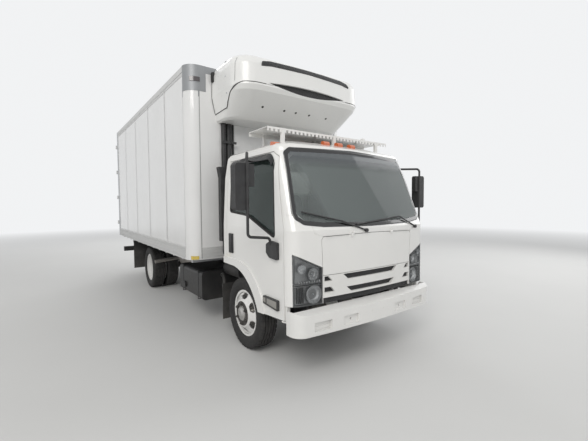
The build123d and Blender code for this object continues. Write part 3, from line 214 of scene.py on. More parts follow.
GLASS_IOR = 1.5
ROAD_DUST = (0.30, 0.28, 0.25)
DUST_FULL = 0.15  # the height up to which dust lies at its full strength


def dimmed(colour, share):
    """A colour with its channels cut to a share, or raised where the share is above 1."""
    return tuple(channel * share for channel in colour)


def dust(finish, top, amount):
    """A mask of road dust: heavy low down, gone at a height, and broken up by noise."""
    low = finish.z.ramp(top, DUST_FULL)
    return (low * finish.noise(5.0, 6.0, 0.65).ramp(0.25, 0.75) * amount).clamped()


def gloss_paint(name, colour, rough=0.22, coat=0.6, top=1.2, amount=0.35, wave=0.0):
    """Sprayed paint: faint cloudiness, orange peel, specks and road dust; wave is a sheet's slow ripple."""
    f = Finish(name)
    base = f.blend(f.noise(1.6, 4.0).ramp(0.35, 0.7) * 0.6, colour, dimmed(colour, 0.93))
    dirt = dust(f, top, amount)
    base = f.blend(dirt, base, ROAD_DUST)
    specks = (f.cells(260.0) < 0.06) * f.noise(9.0).ramp(0.55, 0.7) * 0.35
    base = f.blend(specks, base, (0.35, 0.33, 0.30))
    roughness = f.noise(38.0, 5.0, 0.6) * 0.16 + rough - 0.08 + dirt * 0.45
    height = f.noise(420.0, 2.0) * 0.35
    if wave:
        height = height + f.noise(1.1, 2.0) * wave
    return f.end(f.principled(base, Roughness=roughness, Normal=f.bump(height, 0.0012, 0.35),
                              Coat_Weight=coat, Coat_Roughness=0.06))


def grained(name, colour, rough=0.55, grain=900.0, top=1.0, amount=0.45):
    """Moulded plastic or rubber with a fine leathery grain that greys in random patches."""
    f = Finish(name)
    faded = tuple(min(1.0, channel * 1.9 + 0.02) for channel in colour)
    base = f.blend(f.noise(7.0, 5.0).ramp(0.4, 0.75) * 0.5, colour, faded)
    base = f.blend(dust(f, top, amount), base, ROAD_DUST)
    roughness = f.noise(55.0, 4.0) * 0.22 + rough - 0.1
    height = f.cells(grain) * 0.7 + f.noise(grain * 0.5, 2.0) * 0.5
    return f.end(f.principled(base, Roughness=roughness, Normal=f.bump(height, 0.0006, 0.6)))


def sheet_metal(name, colour, rough=0.38, along=(1.0, 40.0, 40.0), top=1.1, amount=0.4):
    """Drawn or rolled metal: streaks along one direction, dull spots and road dust."""
    f = Finish(name)
    streak = f.noise(24.0, 5.0, 0.6, f.stretched(along))
    dull = f.noise(6.0, 5.0, 0.6)
    base = f.blend(streak.ramp(0.35, 0.7) * 0.6, colour, dimmed(colour, 0.7))
    base = f.blend(dull.ramp(0.55, 0.8) * 0.35, base, dimmed(colour, 0.55))
    dirt = dust(f, top, amount)
    base = f.blend(dirt, base, ROAD_DUST)
    roughness = streak * 0.25 + dull * 0.15 + rough - 0.18 + dirt * 0.3
    return f.end(f.principled(base, Roughness=roughness, Metallic=(1.0 - dirt) * 0.9,
                              Normal=f.bump(streak, 0.0004, 0.3)))


def rough_casting(name, colour):
    """Dark painted iron with grit, oil haze and dust."""
    f = Finish(name)
    grit = f.noise(150.0, 4.0, 0.7)
    rust = f.noise(9.0, 6.0, 0.7).ramp(0.58, 0.75)
    base = f.blend(rust * 0.5, colour, (0.14, 0.075, 0.04))
    base = f.blend(dust(f, 1.2, 0.4), base, (0.22, 0.205, 0.185))
    return f.end(f.principled(base, Roughness=grit * 0.3 + 0.45, Metallic=0.2,
                              Normal=f.bump(grit, 0.0012, 0.5)))


def chassis_black(name):
    """Satin black frame paint with dust on it and small chips."""
    f = Finish(name)
    chips = (f.cells(70.0) < 0.09) * f.noise(5.0).ramp(0.5, 0.62)
    base = f.blend(chips, (0.014, 0.014, 0.015), (0.10, 0.07, 0.05))
    dirt = dust(f, 1.1, 0.35)
    base = f.blend(dirt, base, (0.12, 0.115, 0.105))
    roughness = f.noise(30.0, 4.0) * 0.25 + 0.32 + dirt * 0.25
    height = f.noise(240.0, 3.0) + chips * -0.8
    return f.end(f.principled(base, Roughness=roughness, Normal=f.bump(height, 0.0007, 0.4)))


def tyre_rubber(name):
    """Black rubber: dusty tread, scuffs, and fine ribs on the side wall round the nearer axle."""
    f = Finish(name)
    upright = f.z - AXLE_Z
    rings = []
    for axle in (FRONT_AXLE, REAR_AXLE):
        across = f.y - axle
        rings.append((across * across + upright * upright) ** 0.5)
    radius = rings[0].least(rings[1])
    scuff = f.noise(26.0, 6.0, 0.7)
    base = f.blend(scuff.ramp(0.3, 0.75), (0.018, 0.018, 0.019), (0.045, 0.043, 0.041))
    tread = radius.ramp(0.385, 0.402)
    base = f.blend(tread * scuff.ramp(0.35, 0.7) * 0.45, base, (0.085, 0.082, 0.078))
    ribbed_wall = radius.ramp(0.296, 0.299) * radius.ramp(0.336, 0.333)
    ribs = (radius.saw(0.006) - 0.003).abs().ramp(0.0008, 0.0016) * ribbed_wall
    normal = f.bump(ribs + f.noise(700.0, 2.0) * 0.25, 0.0008, 0.6)
    return f.end(f.principled(base, Roughness=scuff * 0.2 + 0.62, Normal=normal, Specular_IOR_Level=0.35))


def ribbed_lens(name, colour):
    """A coloured lamp lens or reflector with moulded ribs under a glossy skin; each rib is painted darker
    with its relief, as painted shading.
    """
    f = Finish(name)
    ridge = f.ridges(f.x + f.y, 160.0)
    # The colour darkens across each rib with its relief: painted shading of the ribs.
    base = f.blend(ridge, colour, dimmed(colour, 0.45))
    return f.end(f.principled(base, Roughness=f.noise(20.0) * 0.1 + 0.12, Normal=f.bump(ridge, 0.0015, 0.5),
                              Coat_Weight=1.0, Coat_Roughness=0.03))


def door_glass(name):
    """Safety glass: mostly see-through, with a sharp reflection and a faint film of dust."""
    f = Finish(name)
    film = f.noise(3.0, 6.0, 0.7).ramp(0.45, 0.9) * 0.06
    skin = f.principled((0.10, 0.125, 0.12), Roughness=film * 0.6 + 0.02, IOR=GLASS_IOR, Coat_Weight=0.6,
                        Coat_Roughness=0.01)
    return f.end(f.glass(f.fresnel() * 1.6 + 0.20 + film, (0.78, 0.85, 0.82), skin))


def woven_cloth(name, colour):
    """Woven seat cloth with a raised nap."""
    f = Finish(name)
    weave = ((f.x.saw(0.012) - 0.006).abs() + ((f.y + f.z).saw(0.012) - 0.006).abs()) * 40.0
    nap = f.noise(90.0, 3.0, 0.6)
    base = f.blend(nap, dimmed(colour, 0.8), dimmed(colour, 1.2))
    return f.end(f.principled(base, Roughness=nap * 0.1 + 0.85, Normal=f.bump(weave + nap, 0.0008, 0.25),
                              Sheen_Weight=0.25))


def wire_mesh(name):
    """Black expanded mesh: a lattice of thin strands round holes painted near-black as painted shade behind
    the mesh.
    """
    f = Finish(name)
    pitch = 0.014
    one, two = ((line.saw(pitch) - pitch / 2).abs() for line in (f.x + f.z, f.x - f.z))
    strand = one.most(two).ramp(0.0042, 0.0052)
    # The holes are painted near-black: painted shade behind the mesh.
    base = f.blend(strand, (0.004, 0.004, 0.004), (0.04, 0.04, 0.042))
    return f.end(f.principled(base, Roughness=0.75 - strand * 0.25, Normal=f.bump(strand, 0.003, 0.9)))


def plain_gloss(name, colour, rough=0.12, metallic=0.0, coat=0.5, cloud=20.0):
    """A smooth moulded or plated surface with faint haze."""
    f = Finish(name)
    haze = f.noise(cloud, 4.0)
    base = f.blend(haze.ramp(0.4, 0.75) * 0.4, colour, dimmed(colour, 0.75))
    return f.end(f.principled(base, Roughness=haze * 0.12 + rough - 0.05, Metallic=metallic, Coat_Weight=coat,
                              Normal=f.bump(f.noise(300.0, 2.0), 0.0002, 0.3)))


def lamp_and_markers(name):
    """The clear headlamp lens, and amber with ribs above the windscreen."""
    f = Finish(name)
    above_screen = 2.15
    amber = f.principled((0.60, 0.14, 0.045), Roughness=0.15, Coat_Weight=0.8,
                         Normal=f.bump(f.ridges(f.x, 90.0), 0.001, 0.5))
    film = f.noise(6.0, 5.0).ramp(0.4, 0.9) * 0.05
    skin = f.principled((0.5, 0.52, 0.53), Roughness=0.05, IOR=GLASS_IOR, Coat_Weight=0.5)
    clear = f.glass(f.fresnel() + 0.01 + film * 0.5, (0.98, 0.985, 0.985), skin)
    return f.end(f.mix(f.z > above_screen, clear, amber))


def reflector(name):
    """Plated lamp bowls pressed in small facets, coloured near-white with a painted highlight at each facet's
    centre.
    """
    f = Finish(name)
    facet = f.cells(55.0)
    # Near-white at each facet's centre and greyer towards its edge: painted highlight on the facets.
    base = f.blend(facet.ramp(0.0, 0.7), (0.95, 0.95, 0.95), (0.70, 0.71, 0.72))
    return f.end(f.principled(base, Roughness=facet * 0.12 + 0.12, Metallic=0.4,
                              Normal=f.bump(facet, 0.004, 0.6)))


def screen_glass(name):
    """Windscreen and rear glass: see-through, faintly green, with a dark band along the windscreen's top;
    below the band the skin is a pale grey that paints the sky's reflection.
    """
    f = Finish(name)
    film = f.noise(3.0, 6.0, 0.7).ramp(0.45, 0.9) * 0.05
    band = f.z.ramp(2.02, 2.13) * (f.y < back(1.0)) * 0.5
    # The pale grey below the band is painted reflection of the sky; the darker grey at the top is the band's
    # own tint.
    tone = f.blend(f.z.ramp(2.00, 2.10), (0.34, 0.37, 0.37), (0.15, 0.165, 0.175))
    skin = f.principled(tone, Roughness=film * 0.6 + 0.03, IOR=GLASS_IOR)
    return f.end(f.glass(f.fresnel() + 0.19 + film + band, (0.94, 0.97, 0.96), skin))


HIGH_ON_BODY = 3.0


def rail_and_caps(name):
    """Pale extruded rails with drawn streaks, and darker castings at the body's upper front corners."""
    f = Finish(name)
    streak = f.noise(24.0, 5.0, 0.6, f.stretched((40.0, 1.0, 40.0)))
    cap = (f.y < back(2.065)) * (f.z > HIGH_ON_BODY)
    base = f.blend(streak.ramp(0.35, 0.7) * 0.6, (0.66, 0.66, 0.65), (0.52, 0.52, 0.52))
    base = f.blend(cap, base, (0.30, 0.31, 0.32))
    base = f.blend(dust(f, 1.1, 0.25), base, ROAD_DUST)
    roughness = streak * 0.25 + f.noise(6.0, 5.0) * 0.15 + 0.26
    return f.end(f.principled(base, Roughness=roughness, Metallic=0.35, Normal=f.bump(streak, 0.0004, 0.3)))


def body_lamps(name):
    """Ribbed lamp lenses: amber low and smoked high at the body's front corners, red at its back; the ribs
    are painted darker with their relief, as painted shading.
    """
    f = Finish(name)
    rear_end = 1.0
    ridge = f.ridges(f.x + f.y, 120.0)
    front = f.blend(f.z > HIGH_ON_BODY, (0.62, 0.46, 0.06), (0.05, 0.05, 0.055))
    base = f.blend(f.y > rear_end, front, (0.42, 0.012, 0.014))
    # Darker along each rib's relief: painted shading of the ribs.
    base = f.blend(ridge * 0.5, base, (0.10, 0.02, 0.01))
    return f.end(f.principled(base, Roughness=f.noise(20.0) * 0.1 + 0.12, Normal=f.bump(ridge, 0.0015, 0.5),
                              Coat_Weight=1.0))


white_cab = gloss_paint("cab_white_paint", (0.80, 0.795, 0.775), top=0.75, amount=0.12)
white_sheet = gloss_paint("body_white_sheet", (0.76, 0.76, 0.755), rough=0.16, coat=0.3, top=1.5, amount=0.3,
                          wave=6.0)
white_unit = gloss_paint("unit_white_cover", (0.80, 0.80, 0.785), rough=0.3, coat=0.35, top=0.1, amount=0.0)
white_wheel = gloss_paint("wheel_white_enamel", (0.80, 0.795, 0.78), rough=0.32, coat=0.25, top=0.9,
                          amount=0.25)
white_grille = gloss_paint("grille_white_plastic", (0.80, 0.795, 0.775), rough=0.28, coat=0.3, amount=0.4)
aluminium = sheet_metal("bare_aluminium", (0.60, 0.61, 0.63))
galvanised = sheet_metal("galvanised_steel", (0.55, 0.56, 0.57), rough=0.45)
pipe_steel = sheet_metal("pipe_steel", (0.34, 0.32, 0.30), rough=0.5, along=(40.0, 1.0, 40.0))
hub_steel = sheet_metal("hub_steel", (0.58, 0.57, 0.55), rough=0.32, top=0.7, amount=0.3)
black_plastic = grained("black_grained_plastic", (0.022, 0.022, 0.023))
dash_plastic = grained("dashboard_plastic", (0.06, 0.06, 0.062), rough=0.6, grain=60.0, top=0.0, amount=0.0)
flap_rubber = grained("flap_rubber", (0.02, 0.02, 0.02), rough=0.7, grain=400.0, amount=0.3)
floor_mat = grained("floor_mat", (0.07, 0.07, 0.072), rough=0.8, grain=80.0, top=0.0, amount=0.0)
chassis_paint = chassis_black("chassis_black_paint")
dark_iron = rough_casting("dark_iron", (0.035, 0.033, 0.031))
rubber = tyre_rubber("tyre_rubber")
red_lens = ribbed_lens("red_lens", (0.42, 0.01, 0.012))
door_pane = door_glass("tinted_glass")
seat_cloth = woven_cloth("seat_cloth", (0.16, 0.16, 0.165))
dark_mesh = wire_mesh("dark_mesh")
chrome = reflector("lamp_chrome")
dark_housing = plain_gloss("dark_lamp_housing", (0.035, 0.036, 0.038), rough=0.25)
grey_housing = plain_gloss("grey_lamp_housing", (0.27, 0.275, 0.28), rough=0.28, metallic=0.3)
bulb_glass = plain_gloss("bulb_glass", (0.75, 0.77, 0.80), rough=0.08)
turn_lens = plain_gloss("turn_lamp_lens", (0.28, 0.27, 0.25), rough=0.10)
mirror_glass = plain_gloss("mirror_glass", (0.85, 0.87, 0.88), rough=0.06, metallic=1.0, coat=0.0, cloud=3.0)
black_border = plain_gloss("glass_border_black", (0.012, 0.012, 0.013), rough=0.10)
smoked = plain_gloss("smoked_visor", (0.010, 0.010, 0.011), rough=0.22, coat=0.0)
screen = screen_glass("screen_glass")
rail_metal = rail_and_caps("rail_metal")
head_lens = lamp_and_markers("lamp_lenses")
body_lens = body_lamps("body_lamp_lenses")

# A node wears its own finish here, or otherwise that of its slot.
NODE_FINISH = {"dashboard": dash_plastic, "cab_lamps": head_lens, "box_lamps": body_lens,
               "roof_deck": white_cab, "cab_glass": screen, "box_rails": rail_metal}
SLOT_FINISH = {
    "frame_black": chassis_paint, "white_paint": white_cab, "body_sheet": white_sheet,
    "bare_aluminium": aluminium, "unit_white": white_unit, "unit_dark": dark_mesh,
    "black_plastic": black_plastic, "grille_white": white_grille, "cab_glass": door_pane,
    "tyre_rubber": rubber, "flap_rubber": flap_rubber, "wheel_white": white_wheel, "cast_dark": dark_iron,
    "steel_pipe": pipe_steel, "seat_cloth": seat_cloth, "floor_grey": floor_mat, "galvanised": galvanised,
}
slot_of = {row["node"]: row["material_slot"] for row in frame["record"]["subparts"]}
for node, obj in frame["nodes"].items():
    finish = NODE_FINISH.get(node) or SLOT_FINISH[slot_of[node]]
    for index in range(len(obj.data.materials)):
        obj.data.materials[index] = finish
    if not obj.data.materials:
        obj.data.materials.append(finish)

# Making pieces

SAME_PLACE = 1e-6
SUNK = 0.001  # how deep a rivet, screw or washer reaches into what carries it


def only_verts(geometry):
    return [item for item in geometry if isinstance(item, bmesh.types.BMVert)]


def set_at(place, direction):
    """The move that takes a shape built along Z to a place, facing a direction."""
    return Matrix.Translation(place) @ Vector(direction).to_track_quat("Z", "Y").to_matrix().to_4x4()


class Maker:
    """Makes one shape at a time in mesh and keeps it in whole; tint picks the finish of what follows."""

    def __init__(self):
        self.whole = bmesh.new()
        self.mesh = bmesh.new()
        self.tint = 0

    def keep(self):
        """Adds the shape in mesh to the whole, with the tint that is set."""
        for face in self.mesh.faces:
            face.material_index = self.tint
        carrier = bpy.data.meshes.new("carrier")
        self.mesh.to_mesh(carrier)
        self.whole.from_mesh(carrier)
        bpy.data.meshes.remove(carrier)
        self.mesh.clear()

    def soften(self, width, segments):
        """Rounds every edge of the shape."""
        bmesh.ops.bevel(self.mesh, geom=self.mesh.edges[:], offset=width, offset_type="OFFSET",
                        segments=segments, profile=0.5, affect="EDGES", clamp_overlap=True, material=-1)

    def bar(self, low, high, bevel, segments=2):
        """A box between two corners, with rounded edges."""
        made = bmesh.ops.create_cube(self.mesh, size=1.0)["verts"]
        low, high = Vector(low), Vector(high)
        bmesh.ops.scale(self.mesh, vec=high - low, verts=made)
        bmesh.ops.translate(self.mesh, vec=(low + high) / 2, verts=made)
        self.soften(bevel, segments)
        self.keep()

    def plate(self, points, axis, span, bevel, segments=2):
        """An outline pushed along x or y from one place to another, with rounded edges."""
        spots = [{"x": (span[0], a, b), "y": (a, span[0], b)}[axis] for a, b in points]
        face = self.mesh.faces.new([self.mesh.verts.new(spot) for spot in spots])
        pushed = bmesh.ops.extrude_face_region(self.mesh, geom=[face], use_keep_orig=True)["geom"]
        step = Vector({"x": (1, 0, 0), "y": (0, 1, 0)}[axis]) * (span[1] - span[0])
        bmesh.ops.translate(self.mesh, vec=step, verts=only_verts(pushed))
        self.soften(bevel, segments)
        self.keep()

    def lathe(self, section, place, direction, steps, closed=False, shape=None):
        """A section of (height, radius) turned about an axis through a place; shape may move its points."""
        verts = [self.mesh.verts.new((radius, 0.0, height)) for height, radius in section]
        pairs = list(zip(verts, verts[1:])) + ([(verts[-1], verts[0])] if closed else [])
        edges = [self.mesh.edges.new(pair) for pair in pairs]
        bmesh.ops.spin(self.mesh, geom=verts + edges, cent=(0, 0, 0), axis=(0, 0, 1), angle=math.tau,
                       steps=steps, use_merge=True)
        poles = [vert for vert in self.mesh.verts if vert.co.xy.length < SAME_PLACE]
        bmesh.ops.remove_doubles(self.mesh, verts=poles, dist=SAME_PLACE)
        if shape:
            shape(self.mesh.verts)
        bmesh.ops.transform(self.mesh, matrix=set_at(place, direction), verts=self.mesh.verts)
        self.keep()

    def rod(self, start, end, radius, steps, chamfer):
        """A round bar between two places, with chamfered ends."""
        line = Vector(end) - Vector(start)
        length = line.length
        section = [(0.0, 0.0), (0.0, radius - chamfer), (chamfer, radius), (length - chamfer, radius),
                   (length, radius - chamfer), (length, 0.0)]
        self.lathe(section, start, line, steps)

    def tube(self, points, radius, steps):
        """A round tube through places: a circle pushed on from each place to the next."""
        points = [Vector(point) for point in points]
        last = len(points) - 1
        ahead = [(points[min(i + 1, last)] - points[max(i - 1, 0)]).normalized() for i in range(last + 1)]
        ring = bmesh.ops.create_circle(self.mesh, cap_ends=True, segments=steps, radius=radius)["verts"]
        turn = ahead[0].to_track_quat("Z", "Y")
        bmesh.ops.rotate(self.mesh, cent=(0, 0, 0), matrix=turn.to_matrix(), verts=ring)
        bmesh.ops.translate(self.mesh, vec=points[0], verts=ring)
        for i in range(1, len(points)):
            rim = [edge for edge in self.mesh.edges if edge.verts[0] in ring and edge.verts[1] in ring]
            pushed = bmesh.ops.extrude_edge_only(self.mesh, edges=rim)["geom"]
            ring = only_verts(pushed)
            bend = ahead[i - 1].rotation_difference(ahead[i]).to_matrix()
            bmesh.ops.rotate(self.mesh, cent=points[i - 1], matrix=bend, verts=ring)
            bmesh.ops.translate(self.mesh, vec=points[i] - points[i - 1], verts=ring)
        bmesh.ops.contextual_create(self.mesh, geom=ring)
        self.keep()

    def skin(self, place, rows, columns, thickness):
        """A curved sheet: place(u, v) gives its point for u and v from 0 to 1."""
        made = bmesh.ops.create_grid(self.mesh, x_segments=rows, y_segments=columns, size=0.5)["verts"]
        for vert in made:
            vert.co = place(vert.co.x + 0.5, vert.co.y + 0.5)
        bmesh.ops.recalc_face_normals(self.mesh, faces=self.mesh.faces)
        bmesh.ops.solidify(self.mesh, geom=self.mesh.faces[:], thickness=thickness)
        self.keep()

    def band(self, *rings, closed_at_last=False, thickness=0.0, closed=False):
        """A loop pushed on to each next loop of equal length, and perhaps filled or led back to the first."""
        rings = [*rings, rings[0]] if closed else rings
        verts = [self.mesh.verts.new(point) for point in rings[0]]
        edges = [self.mesh.edges.new(pair) for pair in zip(verts, verts[1:] + verts[:1])]
        for points in rings[1:]:
            place = dict(zip(verts, points))
            pushed = bmesh.ops.extrude_edge_only(self.mesh, edges=edges)["geom"]
            fresh = set(only_verts(pushed))
            partner = {edge.other_vert(vert): vert for vert in fresh for edge in vert.link_edges
                       if edge.other_vert(vert) in place}
            verts = [partner[vert] for vert in verts]
            for vert, point in zip(verts, points):
                vert.co = point
            edges = [edge for edge in self.mesh.edges if edge.verts[0] in fresh and edge.verts[1] in fresh]
        if closed:
            bmesh.ops.remove_doubles(self.mesh, verts=self.mesh.verts, dist=SAME_PLACE)
        if closed_at_last:
            bmesh.ops.triangle_fill(self.mesh, use_beauty=True, edges=edges)
        bmesh.ops.recalc_face_normals(self.mesh, faces=self.mesh.faces)
        if thickness:
            bmesh.ops.solidify(self.mesh, geom=self.mesh.faces[:], thickness=thickness)
        self.keep()

    def dome(self, place, direction, radius, height, steps):
        """A low rivet or screw head."""
        section = [(-SUNK, 0.0), (-SUNK, radius), (height * 0.45, radius * 0.88),
                   (height * 0.85, radius * 0.5), (height, 0.0)]
        self.lathe(section, place, direction, steps)

    def mirror(self):
        """Moves all that has been made to the truck's other side."""
        bmesh.ops.scale(self.whole, vec=(-1.0, 1.0, 1.0), verts=self.whole.verts)

    def done(self, name, finishes, body, slot, replaces=(), angle=38.0):
        """Makes the object, smooth except at sharp edges, and lets it ride on a body."""
        bmesh.ops.recalc_face_normals(self.whole, faces=self.whole.faces)
        data = bpy.data.meshes.new(name)
        self.whole.to_mesh(data)
        self.whole.free()
        self.mesh.free()
        data.shade_smooth()
        data.set_sharp_from_angle(angle=math.radians(angle))
        for finish in finishes:
            data.materials.append(finish)
        obj = bpy.data.objects.new(name, data)
        bpy.context.collection.objects.link(obj)
        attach(obj, body)
        if replaces:
            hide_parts(*replaces)
        return obj


def both_sides(name, build, finishes, body, slot, replaces=()):
    """The same piece on the right and on the left; {} in a body or node stands for the side."""
    for side in ("right", "left"):
        maker = Maker()
        build(maker)
        if side == "left":
            maker.mirror()
        replaced = [node.format(side) for node in replaces]
        maker.done(f"{name}_{side}", finishes, body.format(side), slot, replaced)


def faces_of(node):
    """A node's surface, for laying pieces on it."""
    data = frame["nodes"][node].data
    return BVHTree.FromPolygons([vert.co.copy() for vert in data.vertices],
                                [tuple(face.vertices) for face in data.polygons])


AHEAD = -6.0  # where a line of sight starts, clear of the truck
BESIDE = -2.0


def from_front(surface, x, z):
    """Where a line straight back from ahead of the truck meets a surface, and the normal there."""
    return surface.ray_cast(Vector((x, AHEAD, z)), Vector((0.0, 1.0, 0.0)))[:2]


def from_right(surface, y, z):
    """Where a line straight in from the truck's right meets a surface, at a distance behind the bumper."""
    return surface.ray_cast(Vector((BESIDE, back(y), z)), Vector((1.0, 0.0, 0.0)))[0]


def height_on(line, place):
    """The height at a place of a broken line of (place, height)."""
    for (start, low), (end, high) in zip(line, line[1:]):
        if place <= end:
            return low + (high - low) * (place - start) / (end - start)
    return line[-1][1]


NEARLY_STRAIGHT = 0.12  # a bend, in radians, too small to be rounded
ARC_STEPS = 5


def rounded(corners, radius):
    """Corners (a, b) of an outline, each cut by an arc of a radius or of as much as fits."""
    result = []
    count = len(corners)
    for i, corner in enumerate(corners):
        here = Vector(corner)
        one = Vector(corners[i - 1]) - here
        two = Vector(corners[(i + 1) % count]) - here
        opening = one.angle(two)
        if math.pi - opening < NEARLY_STRAIGHT:
            result.append(tuple(here))
            continue
        reach = min(radius / math.tan(opening / 2), 0.48 * one.length, 0.48 * two.length)
        start, end = here + one.normalized() * reach, here + two.normalized() * reach
        for k in range(ARC_STEPS + 1):
            t = k / ARC_STEPS
            result.append(tuple(start * (1 - t) ** 2 + here * 2 * t * (1 - t) + end * t ** 2))
    return result


def spread(corners, longest):
    """The same outline with its long sides divided into parts no longer than a length."""
    result = []
    for one, two in zip(corners, corners[1:] + corners[:1]):
        parts = max(1, math.ceil((Vector(two) - Vector(one)).length / longest))
        result += [tuple(Vector(one).lerp(Vector(two), k / parts)) for k in range(parts)]
    return result


def shrunk(corners, amount):
    """The same outline drawn in towards its inside; a negative amount grows it."""
    corners = [Vector(corner) for corner in corners]
    count = len(corners)
    area = sum(corners[i - 1][0] * corners[i][1] - corners[i][0] * corners[i - 1][1] for i in range(count))
    turn = 1.0 if area > 0 else -1.0
    result = []
    for i in range(count):
        sides = (corners[i] - corners[i - 1], corners[(i + 1) % count] - corners[i])
        normals = [Vector((-side.y, side.x)).normalized() * turn for side in sides]
        middle = normals[0] + normals[1]
        middle = middle.normalized() / max(0.5, middle.length / 2)
        result.append(tuple(corners[i] + middle * amount))
    return result


# Tyres and wheels

RIM = 0.262
BEAD = RIM - 0.013
FRONT_WHEEL_X = -0.8325
REAR_TYRE_X = (-0.971, -0.709)
TREAD_STEPS = 168
GROOVES = (0.054, 0.018, -0.018, -0.054)
GROOVE_BEND = 0.003
NOTCH = 0.009
OUTWARDS = Vector((-1.0, 0.0, 0.0))


def cut_tread(verts):
    """Bends the tread's grooves to a zigzag and notches the shoulders."""
    for vert in verts:
        step = round(math.atan2(vert.co.y, vert.co.x) / math.tau * TREAD_STEPS)
        radius, aside = vert.co.xy.length, abs(vert.co.z)
        on_grooves = radius > 0.389 and aside < 0.062
        on_shoulder = radius > 0.386 and aside > 0.08
        if on_grooves:
            vert.co.z += GROOVE_BEND if step % 6 < 3 else -GROOVE_BEND
        elif on_shoulder and step % 4 == 0:
            vert.co.xy *= (radius - NOTCH) / radius


def tyre(maker, x, y):
    """One tyre: beads, bulging side walls, a tread with zigzag grooves and notched shoulders."""
    wall = [(0.076, BEAD), (0.080, RIM), (0.090, RIM + 0.003), (0.1035, 0.284), (0.1105, 0.306),
            (0.1130, 0.334), (0.1110, 0.352), (0.1070, 0.370), (0.1015, 0.386), (0.0965, 0.3965),
            (0.0900, 0.4012), (0.0680, 0.4026)]
    tread = []
    for centre in GROOVES:
        tread += [(centre + 0.0055, 0.4029), (centre + 0.0026, 0.3915), (centre - 0.0026, 0.3915),
                  (centre - 0.0055, 0.4029)]
    inside = [(-0.068, RIM - 0.011), (-0.096, 0.330), (-0.090, 0.382), (0.090, 0.382), (0.096, 0.330),
              (0.068, RIM - 0.011)]
    section = wall + tread + [(-height, radius) for height, radius in reversed(wall)] + inside
    maker.lathe(section, (x, y, AXLE_Z), OUTWARDS, TREAD_STEPS, closed=True, shape=cut_tread)


def front_tyre(maker):
    tyre(maker, FRONT_WHEEL_X, FRONT_AXLE)


def rear_pair(maker):
    for x in REAR_TYRE_X:
        tyre(maker, x, REAR_AXLE)


both_sides("tyre_front_tread", front_tyre, [rubber], "front_wheel_{}", "tyre_rubber", ["tyre_front_{}"])
both_sides("tyres_rear_tread", rear_pair, [rubber], "rear_wheels_{}", "tyre_rubber", ["tyres_rear_{}"])

FLANGE = 0.124  # the wheel's flange, out from the tyre's middle
DISC_STEPS = 96
DISC_WALL = 0.009
HOLES = 6
HOLE_REACH = (0.160, 0.235)  # the holes' edges lie between these radii
NUTS = 6
NUT_CIRCLE = 0.1111


def hand_holes(maker, place):
    """The dished disc: a turned skin with six oval holes cut in its slope, then thickened."""
    profile = [(0.054, 0.241), (0.070, 0.2265), (0.0795, 0.213), (0.0880, 0.199), (0.0965, 0.185),
               (0.1045, 0.171), (0.1140, 0.161), (0.1205, 0.155), (0.1232, 0.149), (FLANGE, 0.145),
               (FLANGE, 0.081)]
    cut_steps = (6, 8, 8, 6)  # how many faces wide a hole is in each of its four rows
    pitch = 360.0 / HOLES
    mesh = maker.mesh
    verts = [mesh.verts.new((radius, 0.0, height)) for height, radius in profile]
    edges = [mesh.edges.new(pair) for pair in zip(verts, verts[1:])]
    bmesh.ops.spin(mesh, geom=verts + edges, cent=(0, 0, 0), axis=(0, 0, 1), angle=math.tau,
                   steps=DISC_STEPS, use_merge=True)
    gone = []
    for face in mesh.faces:
        centre = face.calc_center_median()
        radius = centre.xy.length
        turn = math.degrees(math.atan2(centre.y, centre.x)) % pitch - pitch / 2
        aside = abs(turn) * DISC_STEPS / 360
        for row, width in enumerate(cut_steps, 1):
            if profile[row][1] > radius > profile[row + 1][1] and aside < width / 2:
                gone.append(face)
    bmesh.ops.delete(mesh, geom=gone, context="FACES")
    rim_of_hole = [vert for vert in mesh.verts
                   if vert.is_boundary and HOLE_REACH[0] < vert.co.xy.length < HOLE_REACH[1]]
    for _ in range(4):
        bmesh.ops.smooth_vert(mesh, verts=rim_of_hole, factor=0.4, use_axis_x=True, use_axis_y=True,
                              use_axis_z=True)
    bmesh.ops.recalc_face_normals(mesh, faces=mesh.faces)
    bmesh.ops.solidify(mesh, geom=mesh.faces[:], thickness=DISC_WALL)
    bmesh.ops.transform(mesh, matrix=set_at(place, OUTWARDS), verts=mesh.verts)
    maker.keep()


